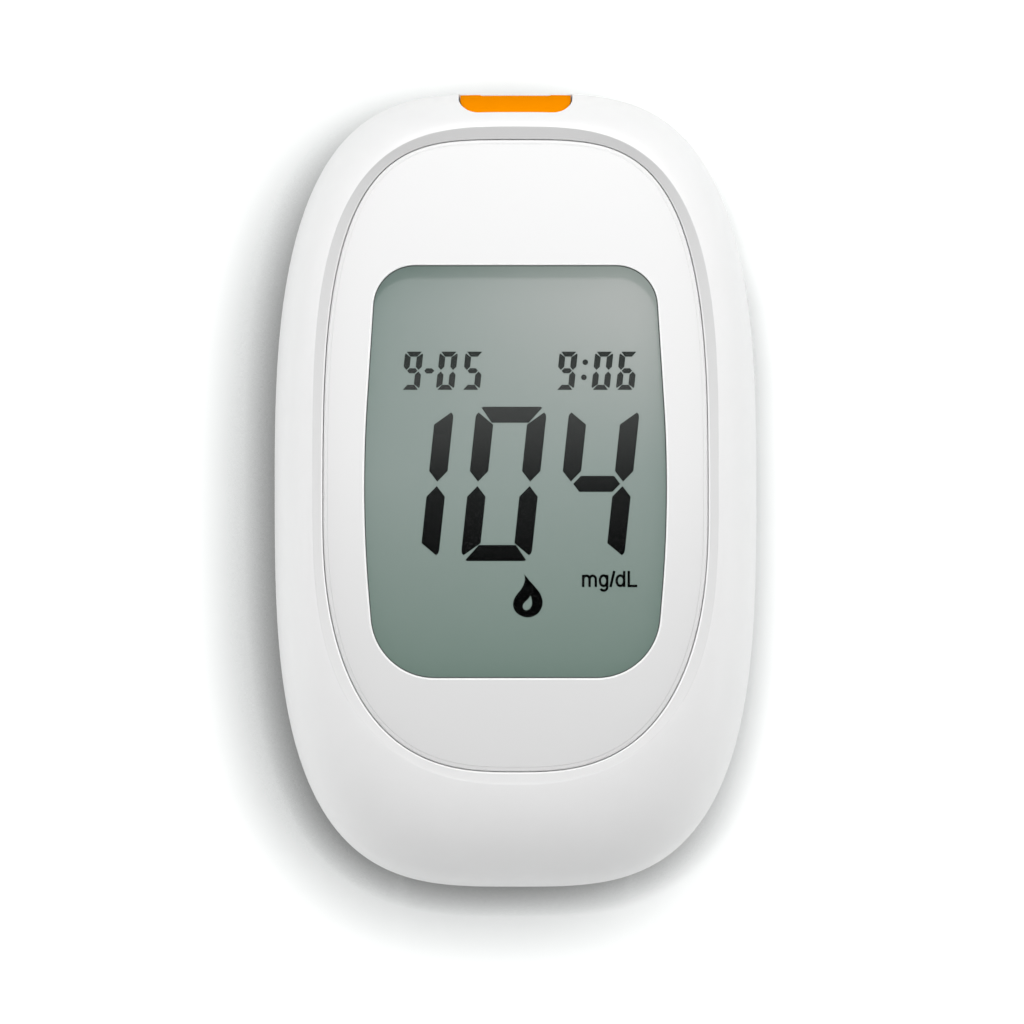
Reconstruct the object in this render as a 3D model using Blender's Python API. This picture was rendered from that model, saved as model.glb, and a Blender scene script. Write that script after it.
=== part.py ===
"""A blood glucose meter with a large display, a strip port at its top end and a strip ejector on its right.

Metres, +Z up. The meter lies on its back on four feet: the display faces up, the strip port faces +Y,
and X runs across the face, to the right of someone reading it. The origin is under the middle of its outline.
"""

import math

import bmesh
import bpy
from mathutils import Matrix, Vector

for old in list(bpy.data.objects):
    bpy.data.objects.remove(old, do_unlink=True)

# Shared clearances
GAP = 0.0003  # between pieces that touch or run on each other
OVERRUN = 0.0020  # how far a cutter runs past what it cuts
SINK = 0.0005  # how far a boss or rib reaches into the wall that carries it

# Outlines, seen from above. A pair of squareness values bends each half of an outline.
OUTLINE_STEPS = 16  # points in each quarter of an outline
MITRE_LIMIT_SHARE = 0.5  # keeps sharp corners from running away when an outline is inset
BODY_LENGTH = 0.0952
BODY_HALF_WIDTH = 0.0289
BODY_WIDEST_Y = 0.0006
BODY_TOP_SQUARENESS_SHARES = (3.55, 2.75)
BODY_BOTTOM_SQUARENESS_SHARES = (3.30, 3.10)
CREST_SIDE = 0.00473  # from the body's edge in to the crest of the ring
CREST_TOP = 0.00436
CREST_BOTTOM = 0.01259
CREST_MIDDLE_Y = 0.0001
CREST_TOP_SQUARENESS_SHARES = (3.10, 3.45)
CREST_BOTTOM_SQUARENESS_SHARES = (2.35, 3.05)
RING_SIDE = 0.00124  # from the crest down to the edge of the face plate
RING_TOP = 0.00154
RING_BOTTOM = 0.00143
FACE_MIDDLE_Y = -0.0030
FACE_TOP_SQUARENESS_SHARES = (3.70, 3.30)
FACE_BOTTOM_SQUARENESS_SHARES = (2.80, 2.35)

# Feet
FOOT_PROUD = 0.0006
FOOT_RADIUS = 0.0032
FOOT_HEIGHT = 0.0010
FOOT_PLACE_SHARES = ((0.606, 0.525), (0.657, -0.420))  # of the half width and the half length

# Cells, AAA size
CELL_RADIUS = 0.00525
CELL_LENGTH = 0.0445
CELL_NUB_RADIUS = 0.0019
CELL_NUB_HEIGHT = 0.0010
CELL_EDGE = 0.0004
CELL_SPACING = 0.0112

# Housing walls
FRONT_WALL = 0.0018
REAR_WALL = 0.0018
BACK_CURVE = 0.0040  # how far the back's flat lies inside the outline
BACK_SQUARENESS_SHARE = 2.4
CROWN_SQUARENESS_SHARE = 2.0
CURVE_STEPS = 7
HOLLOW_STEPS = 3
PARTING_Z = 0.0108
LIP_WALL = 0.0008
LIP_HEIGHT = 0.0010
RING_DROP = 0.0009  # from the crest down to the face plate

# Battery cover
COVER_WALL = 0.0012
COVER_HALF_WIDTH = 0.0136
COVER_END_BORDER = 0.0004  # from the set button's boss to the cover's top edge
COVER_CORNER = 0.0030
RAIL_WIDTH = 0.0008
RAIL_HEIGHT = 0.0004
RAIL_LIP = 0.0005  # wall of the housing under the rail's groove
RAIL_LENGTH = 0.0390
GRIP_GROOVES = 6
GRIP_PITCH = 0.0016
GRIP_WIDTH = 0.0007
GRIP_DEPTH = 0.0004
GRIP_HALF_LENGTH = 0.0058
GRIP_INSET = 0.0060  # from the cover's top edge to the first groove

# Battery bay
BAY_WALL = 0.0008
BAY_CEILING = 0.0007
BAY_SIDE_ROOM = 0.00045
BAY_END_MARGIN = 0.0061  # from the meter's bottom end to the bay
SPRING_ROOM = 0.0031
SHELF_HEIGHT = 0.0010
SHELF_BORDER = 0.0034
PLATE_THICKNESS = 0.0003
PLATE_WIDTH = 0.0080
PLATE_HEIGHT = 0.0080
TERMINAL_WIDTH = 0.0020
BATTERY_WIRE_RADIUS = 0.0003
BATTERY_SPRING_RADII = (0.0036, 0.0020)
BATTERY_SPRING_TURNS = 2

# Board
BOARD_THICKNESS = 0.0012
BOARD_INSET = 0.0046  # from the body's outline

# Display stack
FRAME_FLOOR = 0.0006
FRAME_WALL = 0.0013
REFLECTOR_THICKNESS = 0.00025
GLASS_THICKNESS = 0.0007
POLARISER_THICKNESS = 0.00025
GLASS_BORDER = 0.0012  # glass hidden beside the window
REAR_GLASS_SHORT = 0.0024  # how much sooner the rear glass ends, over the zebra connector
ZEBRA_SHORT = 0.0024  # from the glass's side edge in to the zebra connector's end
ZEBRA_WIDTH = 0.0018
DECK_THICKNESS = 0.0016
DECK_MARGIN = 0.0008  # from the window's edge out to the edge of the deck's opening
PLATE_TOP_EDGE = 0.00025

# Face plate and lens
FACE_THICKNESS = 0.0018
LENS_THICKNESS = 0.0009
LENS_LEDGE = 0.0012
WINDOW_SIDE_MARGIN = 0.00486  # from the face plate's side edge
WINDOW_TOP_MARGIN = 0.01492  # from the face plate's top edge
WINDOW_BOTTOM_MARGIN = 0.01114
WINDOW_SHOULDER = 0.0014  # how much the window narrows at its corners
WINDOW_TOP_CORNER = 0.0050
WINDOW_BOTTOM_CORNER = 0.0076
WINDOW_WIDEST_SHARE = 0.569  # of the window's length, down from its top
WINDOW_BULGE_SHARE = 0.85  # of the side below its widest point that is part of the bulge
WINDOW_BULGE_CUT = 0.0004  # from the side's widest point out to where its two slopes would meet
WINDOW_CORNER_STEPS = 6

# Strip connector
CONNECTOR_ROOF = 0.0007
CONNECTOR_FLOOR = 0.0009
CONNECTOR_HALF_WIDTH = 0.0055
CONNECTOR_LENGTH = 0.0105
CHANNEL_HEIGHT = 0.0012
CHANNEL_HALF_WIDTH = 0.0037
CONTACT_COUNT = 5
CONTACT_PITCH = 0.0014
CONTACT_WIDTH = 0.00045
CONTACT_THICKNESS = 0.0002
CONTACT_FOOT = 0.0018
CONTACT_REACH = 0.0064  # from the foot to the bump
CONTACT_TIP = 0.0014
CONTACT_DROP = 0.0008
CONTACT_GROOVE_CLEARANCE = 0.00027

# Strip port insert
INSERT_HALF_WIDTH = 0.0066
INSERT_ABOVE = 0.0105  # above the strip's plane
INSERT_BELOW = 0.0043
INSERT_CORNER = 0.0026
INSERT_DEPTH = 0.0034
INSERT_CORNER_STEPS = 5
SPOUT_WALL = 0.0009
SPOUT_LENGTH = 0.0024
FLANGE_BORDER = 0.0016
FLANGE_THICKNESS = 0.0012
FLANGE_ABOVE = 0.0027
FLANGE_BELOW = 0.0033
SCOOP_HALF_WIDTH = 0.0041
SCOOP_DEPTH = 0.00025
SCOOP_HALF_HEIGHT = 0.0034

# Screws and their bosses
UPPER_SCREW_X_SHARE = 0.519  # of the body's half width
LOWER_SCREW_X_SHARE = 0.619
UPPER_SCREW_INSET = 0.0116  # from the meter's top end
LOWER_SCREW_INSET = 0.0166  # from its bottom end
SCREW_HEAD_RADIUS = 0.0019
SCREW_HEAD_HEIGHT = 0.0013
SCREW_SHANK_RADIUS = 0.0009
SCREW_SEAT_Z = 0.0040
SCREW_BITE = 0.0064  # how far a screw goes into the front housing
REAR_BOSS_RADIUS = 0.0030
FRONT_BOSS_RADIUS = 0.0024
BOARD_SHOULDER = 0.0008
ROUND_STEPS = 16

# Ejector
CARRIAGE_ROOM = 0.0029  # from the battery cover's edge to the carriage
PAD_RIBS = 6
RIB_PITCH = 0.00229
RIB_PROUD = 0.0002
RIB_VALLEY = 0.0003
RIB_POINT_SHARES = (-0.3, -0.14, 0, 0.14, 0.3)  # places across a rib, in rib pitches
PAD_DEPTH = 0.0010
PAD_HEIGHT = 0.0057
PAD_LOW_Z = 0.0039
EJECT_TRAVEL = 0.0050
NECK_WIDTH = 0.0040
NECK_HEIGHT = 0.0024
NECK_REACH = 0.005275  # from the body's edge in to the neck's end
CARRIAGE_HEIGHT = 0.0030
CARRIAGE_LOW_Z = 0.0052
CARRIAGE_INNER_X = -0.0032
TONGUE_HALF_WIDTH = 0.0032
TONGUE_THICKNESS = 0.0006
TONGUE_SHORT = 0.0010  # from the tongue's tip to the connector
GUIDE_WIDTH = 0.0012
GUIDE_LENGTH = 0.0140
INNER_GUIDE_OFFSET = 0.0063  # from the carriage's inner end
OUTER_GUIDE_OFFSET = 0.0054  # from the neck's inner end
SPRING_OFFSET = 0.0110  # from the neck's inner end
EJECT_SPRING_RADIUS = 0.0015
EJECT_WIRE_RADIUS = 0.00025
EJECT_SPRING_TURNS = 9
EJECT_SPRING_LENGTH = 0.0104
POST_WIDTH = 0.0040
POST_THICKNESS = 0.0020

# Memory button and switch
BUTTON_MIDDLE_Y = 0.0180
BUTTON_HALF_LENGTH = 0.0037
BUTTON_LOW_Z = 0.0059
BUTTON_HEIGHT = 0.0028
BUTTON_SUNK = 0.00015
BUTTON_FLANGE = 0.0009
BUTTON_DEPTH = 0.003958  # from the body's edge in to the flange's back
MEMORY_TRAVEL_ROOM = 0.0006
SWITCH_PLUNGER = 0.0006
SWITCH_PLUNGER_RADIUS = 0.0009
SWITCH_DEPTH = 0.0036
SWITCH_LENGTH = 0.0060
SWITCH_HEIGHT = 0.0076

# Set button and switch
SET_X = 0.0090
SET_ROOM = 0.0007  # from the bay's wall to the button's boss
SET_RADIUS = 0.0012
SET_FLANGE_RADIUS = 0.0019
SET_FLANGE_HEIGHT = 0.0007
SET_BOSS_WALL = 0.0006
SET_TRAVEL_ROOM = 0.0005
SET_SUNK = 0.0001
SET_SWITCH_SIZE = 0.0045
SET_SWITCH_HEIGHT = 0.0007
SET_PLUNGER_HEIGHT = 0.0004

# Parts on the board's underside: width, length and height. Places are in shares of the meter's half width
# and half length.
PROCESSOR_SIZE = (0.0090, 0.0090, 0.0010)
PROCESSOR_PLACE_SHARES = (0.381, 0.515)
MEASURING_CHIP_SIZE = (0.0040, 0.0040, 0.0010)
MEASURING_CHIP_PLACE_SHARES = (-0.311, 0.788)
CLOCK_CRYSTAL_SIZE = (0.0020, 0.0060, 0.0012)
CLOCK_CRYSTAL_PLACE_SHARES = (0.304, 0.788)
BUZZER_PLACE_SHARES = (-0.450, 0.567)
BUZZER_RADIUS = 0.0055
BUZZER_HEIGHT = 0.0030

# Levels, from the table up
BACK_Z = FOOT_PROUD
CELL_Z = BACK_Z + COVER_WALL + GAP + CELL_RADIUS
BAY_CEILING_Z = CELL_Z + CELL_RADIUS + GAP
BOARD_Z = BAY_CEILING_Z + BAY_CEILING + GAP
BOARD_TOP_Z = BOARD_Z + BOARD_THICKNESS
FRAME_Z = BOARD_TOP_Z + GAP
REFLECTOR_Z = FRAME_Z + FRAME_FLOOR + GAP
REAR_GLASS_Z = REFLECTOR_Z + REFLECTOR_THICKNESS + GAP
FRONT_GLASS_Z = REAR_GLASS_Z + GLASS_THICKNESS + GAP
POLARISER_Z = FRONT_GLASS_Z + GLASS_THICKNESS + GAP
FRAME_TOP_Z = POLARISER_Z + POLARISER_THICKNESS
DECK_Z = FRAME_TOP_Z + GAP
DECK_TOP_Z = DECK_Z + DECK_THICKNESS
FACE_Z = DECK_TOP_Z + GAP
FACE_TOP_Z = FACE_Z + FACE_THICKNESS
CREST_Z = FACE_TOP_Z + RING_DROP
UNDER_BOARD_Z = BOARD_Z - GAP
CHANNEL_TOP_Z = UNDER_BOARD_Z - CONNECTOR_ROOF
STRIP_Z = CHANNEL_TOP_Z - CHANNEL_HEIGHT / 2
COVER_TOP_Z = BACK_Z + COVER_WALL
SHELF_Z = COVER_TOP_Z + GAP

# Places worked out from the sizes above
BODY_TOP_Y = BODY_LENGTH / 2
BODY_BOTTOM_Y = -BODY_LENGTH / 2
CREST_TOP_Y = BODY_TOP_Y - CREST_TOP
CREST_BOTTOM_Y = BODY_BOTTOM_Y + CREST_BOTTOM
FACE_HALF_WIDTH = BODY_HALF_WIDTH - CREST_SIDE - RING_SIDE
FACE_TOP_Y = CREST_TOP_Y - RING_TOP
FACE_BOTTOM_Y = CREST_BOTTOM_Y + RING_BOTTOM
WINDOW_HALF_WIDTH = FACE_HALF_WIDTH - WINDOW_SIDE_MARGIN
WINDOW_TOP_Y = FACE_TOP_Y - WINDOW_TOP_MARGIN
WINDOW_BOTTOM_Y = FACE_BOTTOM_Y + WINDOW_BOTTOM_MARGIN
BAY_HALF_WIDTH = CELL_SPACING / 2 + CELL_RADIUS + BAY_SIDE_ROOM
BAY_BOTTOM_Y = BODY_BOTTOM_Y + BAY_END_MARGIN
BAY_TOP_Y = BAY_BOTTOM_Y + CELL_LENGTH + SPRING_ROOM + 2 * PLATE_THICKNESS + 4 * GAP
SET_BOSS_RADIUS = SET_RADIUS + GAP + SET_BOSS_WALL
SET_Y = BAY_TOP_Y + BAY_WALL + SET_ROOM + SET_BOSS_RADIUS
COVER_TOP_Y = SET_Y + SET_BOSS_RADIUS + COVER_END_BORDER
CARRIAGE_LOW_Y = COVER_TOP_Y + CARRIAGE_ROOM
PAD_MIDDLE_Y = CARRIAGE_LOW_Y + NECK_WIDTH / 2
INSERT_INNER_Y = BODY_TOP_Y - INSERT_DEPTH
SPOUT_INNER_Y = INSERT_INNER_Y - SPOUT_LENGTH
CONNECTOR_TOP_Y = SPOUT_INNER_Y - GAP
CONNECTOR_BOTTOM_Y = CONNECTOR_TOP_Y - CONNECTOR_LENGTH


def egg(half_width, middle_y, top_y, bottom_y, top_squareness, bottom_squareness):
    """Points round an outline made of two half superellipses that meet at its widest line.

    Each outline has its points at the same edge directions, so that surfaces between outlines don't twist.
    """
    points = []
    for quarter in range(4):
        upper = quarter < 2
        across, along = top_squareness if upper else bottom_squareness
        reach = top_y - middle_y if upper else middle_y - bottom_y
        side = 1 if quarter in (0, 3) else -1
        for step in range(OUTLINE_STEPS):
            place = step if quarter in (0, 2) else OUTLINE_STEPS - step
            facing = math.pi / 4 * (1 - math.cos(math.pi * place / OUTLINE_STEPS))
            x, y = quarter_point(half_width, reach, across, along, facing)
            points.append(Vector((side * x, middle_y + (y if upper else -y))))
    return points


def quarter_point(half_width, reach, across, along, facing):
    """The point of a quarter superellipse where its edge faces a direction, found by halving."""
    low, high = 0, math.pi / 2
    for _ in range(48):
        angle = (low + high) / 2
        x_share = math.cos(angle) ** (2 / across)
        y_share = math.sin(angle) ** (2 / along)
        slope_x = across * x_share ** (across - 1) / half_width
        slope_y = along * y_share ** (along - 1) / reach
        if math.atan2(slope_y, slope_x) < facing:
            low = angle
        else:
            high = angle
    return half_width * x_share, reach * y_share


def inset(points, distance):
    """The outline moved inward by a distance, or outward by a negative one."""
    moved = []
    for index, point in enumerate(points):
        before = (point - points[index - 1]).normalized()
        after = (points[(index + 1) % len(points)] - point).normalized()
        inward = Vector((-before.y - after.y, before.x + after.x)).normalized()
        mitre = max(MITRE_LIMIT_SHARE, inward.dot(Vector((-after.y, after.x))))
        moved.append(point + inward * distance / mitre)
    return moved


def between(first, second, share):
    return [one.lerp(other, share) for one, other in zip(first, second)]


def rounded(corners, steps):
    """A polygon whose corners (x, y, radius), listed counterclockwise, are rounded by arcs."""
    points = []
    for index, (x, y, radius) in enumerate(corners):
        corner = Vector((x, y))
        to_before = (Vector(corners[index - 1][:2]) - corner).normalized()
        to_after = (Vector(corners[(index + 1) % len(corners)][:2]) - corner).normalized()
        half_angle = to_before.angle(to_after) / 2
        middle = corner + (to_before + to_after).normalized() * radius / math.sin(half_angle)
        start = corner + to_before * radius / math.tan(half_angle) - middle
        sweep = math.pi - 2 * half_angle
        for step in range(steps + 1):
            turn = Matrix.Rotation(sweep * step / steps, 2)
            points.append(middle + turn @ start)
    return points


def box_outline(left, right, low, high, radius, steps=INSERT_CORNER_STEPS):
    corners = [(right, low), (right, high), (left, high), (left, low)]
    return rounded([(x, y, radius) for x, y in corners], steps)


BODY_OUTLINE = egg(
    BODY_HALF_WIDTH, BODY_WIDEST_Y, BODY_TOP_Y, BODY_BOTTOM_Y,
    BODY_TOP_SQUARENESS_SHARES, BODY_BOTTOM_SQUARENESS_SHARES,
)
CREST_OUTLINE = egg(
    BODY_HALF_WIDTH - CREST_SIDE, CREST_MIDDLE_Y, CREST_TOP_Y, CREST_BOTTOM_Y,
    CREST_TOP_SQUARENESS_SHARES, CREST_BOTTOM_SQUARENESS_SHARES,
)
FACE_OUTLINE = egg(
    FACE_HALF_WIDTH, FACE_MIDDLE_Y, FACE_TOP_Y, FACE_BOTTOM_Y,
    FACE_TOP_SQUARENESS_SHARES, FACE_BOTTOM_SQUARENESS_SHARES,
)


def window_outline():
    """The display window: straight ends, rounded corners and gently bulging sides."""
    corner_x = WINDOW_HALF_WIDTH - WINDOW_SHOULDER
    middle_y = WINDOW_TOP_Y + (WINDOW_BOTTOM_Y - WINDOW_TOP_Y) * WINDOW_WIDEST_SHARE
    bulge_x = WINDOW_HALF_WIDTH + WINDOW_BULGE_CUT
    lower_slope = math.atan2(bulge_x - corner_x, middle_y - WINDOW_BOTTOM_Y)
    upper_slope = math.atan2(bulge_x - corner_x, WINDOW_TOP_Y - middle_y)
    bulge_reach = (middle_y - WINDOW_BOTTOM_Y - WINDOW_BOTTOM_CORNER) * WINDOW_BULGE_SHARE
    side = bulge_reach / math.tan((lower_slope + upper_slope) / 2)
    right = [
        (corner_x, WINDOW_BOTTOM_Y, WINDOW_BOTTOM_CORNER),
        (bulge_x, middle_y, side),
        (corner_x, WINDOW_TOP_Y, WINDOW_TOP_CORNER),
    ]
    left = [(-x, y, radius) for x, y, radius in reversed(right)]
    return rounded(right + left, WINDOW_CORNER_STEPS)


WINDOW_OUTLINE = window_outline()


def edge_x(y):
    """How far out the body's right edge lies at a place along its length."""
    upper = y >= BODY_WIDEST_Y
    across, along = BODY_TOP_SQUARENESS_SHARES if upper else BODY_BOTTOM_SQUARENESS_SHARES
    reach = BODY_TOP_Y - BODY_WIDEST_Y if upper else BODY_WIDEST_Y - BODY_BOTTOM_Y
    return BODY_HALF_WIDTH * (1 - (abs(y - BODY_WIDEST_Y) / reach) ** along) ** (1 / across)


def add_object(name, bm, finish):
    """A named object made from a bmesh, with its faces pointing out and its own material."""
    bmesh.ops.recalc_face_normals(bm, faces=bm.faces)
    mesh = bpy.data.meshes.new(name)
    bm.to_mesh(mesh)
    bm.free()
    piece = bpy.data.objects.new(name, mesh)
    bpy.context.collection.objects.link(piece)
    mesh.shade_smooth()
    mesh.set_sharp_from_angle(angle=math.radians(35))
    paint(piece, finish)
    return piece


def paint(piece, finish):
    if finish is None:
        return
    colour, roughness, metallic = finish
    material = bpy.data.materials.new(piece.name)
    material.use_nodes = True
    shader = material.node_tree.nodes["Principled BSDF"]
    shader.inputs["Base Color"].default_value = (*colour, 1)
    shader.inputs["Roughness"].default_value = roughness
    shader.inputs["Metallic"].default_value = metallic
    piece.data.materials.append(material)


def loft(name, rings, finish=None):
    """A closed solid through rings of (outline, z), capped at both ends."""
    bm = bmesh.new()
    loops = [[bm.verts.new((point.x, point.y, z)) for point in outline] for outline, z in rings]
    count = len(loops[0])
    for lower, upper in zip(loops, loops[1:]):
        for index in range(count):
            following = (index + 1) % count
            bm.faces.new((lower[index], lower[following], upper[following], upper[index]))
    bm.faces.new(loops[0])
    bm.faces.new(loops[-1])
    return add_object(name, bm, finish)


def prism(name, outline, low_z, high_z, finish=None):
    return loft(name, [(outline, low_z), (outline, high_z)], finish)


def prism_along(name, outline, start, end, axis, finish=None):
    """A prism along X or Y. Its outline is (y, z) or (x, z)."""
    bm = bmesh.new()
    loops = []
    for place in (start, end):
        if axis == "X":
            loops.append([bm.verts.new((place, point.x, point.y)) for point in outline])
        else:
            loops.append([bm.verts.new((point.x, place, point.y)) for point in outline])
    count = len(outline)
    for index in range(count):
        following = (index + 1) % count
        bm.faces.new((loops[0][index], loops[0][following], loops[1][following], loops[1][index]))
    bm.faces.new(loops[0])
    bm.faces.new(loops[1])
    return add_object(name, bm, finish)


def box(name, x_range, y_range, z_range, finish=None):
    (left, right), (low_y, high_y) = x_range, y_range
    outline = [Vector((left, low_y)), Vector((right, low_y)), Vector((right, high_y)), Vector((left, high_y))]
    return prism(name, outline, z_range[0], z_range[1], finish)


def centred(middle, size):
    return (middle - size / 2, middle + size / 2)


def turned(name, profile, finish=None, steps=ROUND_STEPS, places=((0, 0),), along_y=False):
    """A solid of revolution from (radius, height) points that start and end on the axis, at each place.

    Heights run up Z from zero, or along Y, where the places are (x, z).
    """
    bm = bmesh.new()
    for across, other in places:
        loops = []
        for radius, height in profile:
            loop = []
            for step in range(steps if radius else 1):
                angle = math.tau * step / steps
                sideways, upward = radius * math.cos(angle), radius * math.sin(angle)
                if along_y:
                    loop.append(bm.verts.new((across + sideways, height, other + upward)))
                else:
                    loop.append(bm.verts.new((across + sideways, other + upward, height)))
            loops.append(loop)
        for lower, upper in zip(loops, loops[1:]):
            for step in range(steps):
                following = (step + 1) % steps
                corners = [lower[step % len(lower)], lower[following % len(lower)]]
                corners += [upper[following % len(upper)], upper[step % len(upper)]]
                bm.faces.new(list(dict.fromkeys(corners)))
    return add_object(name, bm, finish)


def disc(name, radius, low, high, finish=None, **options):
    return turned(name, [(0, low), (radius, low), (radius, high), (0, high)], finish, **options)


def combine(piece, tool, operation):
    """Cuts a tool from a piece, joins it or keeps what both hold. The tool itself isn't part of the model."""
    modifier = piece.modifiers.new(tool.name, "BOOLEAN")
    modifier.operation = operation
    modifier.object = tool
    tool.hide_render = True
    tool.display_type = "WIRE"


def cut(piece, tool):
    combine(piece, tool, "DIFFERENCE")


def join(piece, tool):
    combine(piece, tool, "UNION")


def keep(piece, tool):
    combine(piece, tool, "INTERSECT")


def put_origin(piece, place):
    """Moves a piece's origin onto its joint's axis without moving its shape."""
    piece.data.transform(Matrix.Translation(-Vector(place)))
    piece.location = place


# Finishes: colour, roughness, metallic
WHITE_PLASTIC = ((0.86, 0.86, 0.85), 0.35, 0)
ORANGE_PLASTIC = ((0.97, 0.32, 0.0), 0.35, 0)
CLEAR_PLASTIC = ((0.80, 0.84, 0.82), 0.05, 0)
DISPLAY_GREY = ((0.30, 0.37, 0.34), 0.20, 0)
GLASS = ((0.55, 0.62, 0.58), 0.10, 0)
GREY_PLASTIC = ((0.25, 0.26, 0.27), 0.50, 0)
BLACK_PLASTIC = ((0.03, 0.03, 0.03), 0.45, 0)
RUBBER = ((0.05, 0.05, 0.05), 0.80, 0)
BOARD_GREEN = ((0.02, 0.16, 0.07), 0.45, 0)
STEEL = ((0.60, 0.60, 0.62), 0.30, 1)
GOLD = ((0.83, 0.62, 0.25), 0.30, 1)
CELL_SLEEVE = ((0.10, 0.12, 0.14), 0.35, 0)

SCREW_PLACES = [
    (side * share * BODY_HALF_WIDTH, y)
    for share, y in (
        (UPPER_SCREW_X_SHARE, BODY_TOP_Y - UPPER_SCREW_INSET),
        (LOWER_SCREW_X_SHARE, BODY_BOTTOM_Y + LOWER_SCREW_INSET),
    )
    for side in (-1, 1)
]
FOOT_PLACES = [
    (side * across * BODY_HALF_WIDTH, along * BODY_TOP_Y)
    for across, along in FOOT_PLACE_SHARES for side in (-1, 1)
]


def rear_rings(wall, top_z, steps=CURVE_STEPS):
    """Rings of the rear form from its flat back up, with the back's edge rounded, set in by a wall."""
    rings = []
    widest_z = PARTING_Z - GAP
    for step in range(steps, -1, -1):
        angle = math.pi / 2 * step / steps
        across = math.cos(angle) ** (2 / BACK_SQUARENESS_SHARE) if step < steps else 0
        down = math.sin(angle) ** (2 / BACK_SQUARENESS_SHARE)
        outline = inset(BODY_OUTLINE, wall + (BACK_CURVE - wall) * (1 - across))
        rings.append((outline, widest_z - (widest_z - BACK_Z - wall) * down))
    rings.append((inset(BODY_OUTLINE, wall), top_z))
    return rings


def front_rings(wall, bottom_z, top_z, steps=CURVE_STEPS):
    """Rings of the crown from the parting line up to the crest or to a level below it, set in by a wall."""
    height = CREST_Z - PARTING_Z - wall
    rise = min(1, (top_z - PARTING_Z) / height)
    last_angle = math.asin(rise ** (CROWN_SQUARENESS_SHARE / 2))
    rings = [(inset(BODY_OUTLINE, wall), bottom_z)]
    for step in range(1, steps + 1):
        angle = last_angle * step / steps
        across = max(0, math.cos(angle)) ** (2 / CROWN_SQUARENESS_SHARE)
        up = math.sin(angle) ** (2 / CROWN_SQUARENESS_SHARE)
        outline = between(BODY_OUTLINE, CREST_OUTLINE, 1 - across)
        rings.append((inset(outline, wall), PARTING_Z + height * up))
    return rings


def insert_profile(grow):
    """The strip port's outline on the end of the meter, as (x, z)."""
    half = INSERT_HALF_WIDTH + grow
    low, high = STRIP_Z - INSERT_BELOW - grow, STRIP_Z + INSERT_ABOVE + grow
    return box_outline(-half, half, low, high, INSERT_CORNER + grow)


def build_front_housing():
    rings = front_rings(0, PARTING_Z + GAP / 2, CREST_Z)
    recess = inset(FACE_OUTLINE, -GAP)
    rings += [(recess, FACE_TOP_Z), (recess, DECK_TOP_Z)]
    housing = loft("front_housing", rings, WHITE_PLASTIC)

    cut(housing, loft("front_cavity", front_rings(FRONT_WALL, PARTING_Z - OVERRUN, DECK_Z, HOLLOW_STEPS)))
    relief = inset(BODY_OUTLINE, FRONT_WALL - LIP_WALL - GAP)
    cut(housing, prism("lip_relief", relief, PARTING_Z - OVERRUN, PARTING_Z + LIP_HEIGHT + GAP))

    boss_low_z = PARTING_Z - GAP / 2
    boss_high_z = DECK_Z + SINK
    shoulder_z = BOARD_TOP_Z + GAP
    shoulder = FRONT_BOSS_RADIUS + BOARD_SHOULDER
    profile = [(0, boss_low_z), (FRONT_BOSS_RADIUS, boss_low_z), (FRONT_BOSS_RADIUS, shoulder_z)]
    profile += [(shoulder, shoulder_z), (shoulder, boss_high_z), (0, boss_high_z)]
    join(housing, turned("front_bosses", profile, places=SCREW_PLACES))
    bore_top_z = boss_low_z + SCREW_BITE + GAP
    bore = SCREW_SHANK_RADIUS + GAP
    cut(housing, disc("front_bores", bore, boss_low_z - OVERRUN, bore_top_z, places=SCREW_PLACES))

    opening = inset(WINDOW_OUTLINE, -DECK_MARGIN)
    cut(housing, prism("deck_opening", opening, DECK_Z - OVERRUN, DECK_TOP_Z + OVERRUN))
    cut(housing, insert_cutter("front_port_cutter"))


def insert_cutter(name):
    return prism_along(name, insert_profile(GAP), INSERT_INNER_Y - GAP, BODY_TOP_Y + OVERRUN, "Y")


def cover_outline(grow):
    half = COVER_HALF_WIDTH + grow
    return box_outline(-half, half, BODY_BOTTOM_Y - OVERRUN, COVER_TOP_Y + grow, COVER_CORNER)


def rail_ranges(grow):
    """The cover's two rails, or the grooves that they run in."""
    low_z = BACK_Z + RAIL_LIP + GAP - grow
    top_y = COVER_TOP_Y - COVER_CORNER + grow
    low_y = BODY_BOTTOM_Y - OVERRUN if grow else top_y - RAIL_LENGTH
    for side in (-1, 1):
        edges = (side * (COVER_HALF_WIDTH - SINK), side * (COVER_HALF_WIDTH + RAIL_WIDTH + grow))
        yield (min(edges), max(edges)), (low_y, top_y), (low_z, low_z + RAIL_HEIGHT + 2 * grow)


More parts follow.
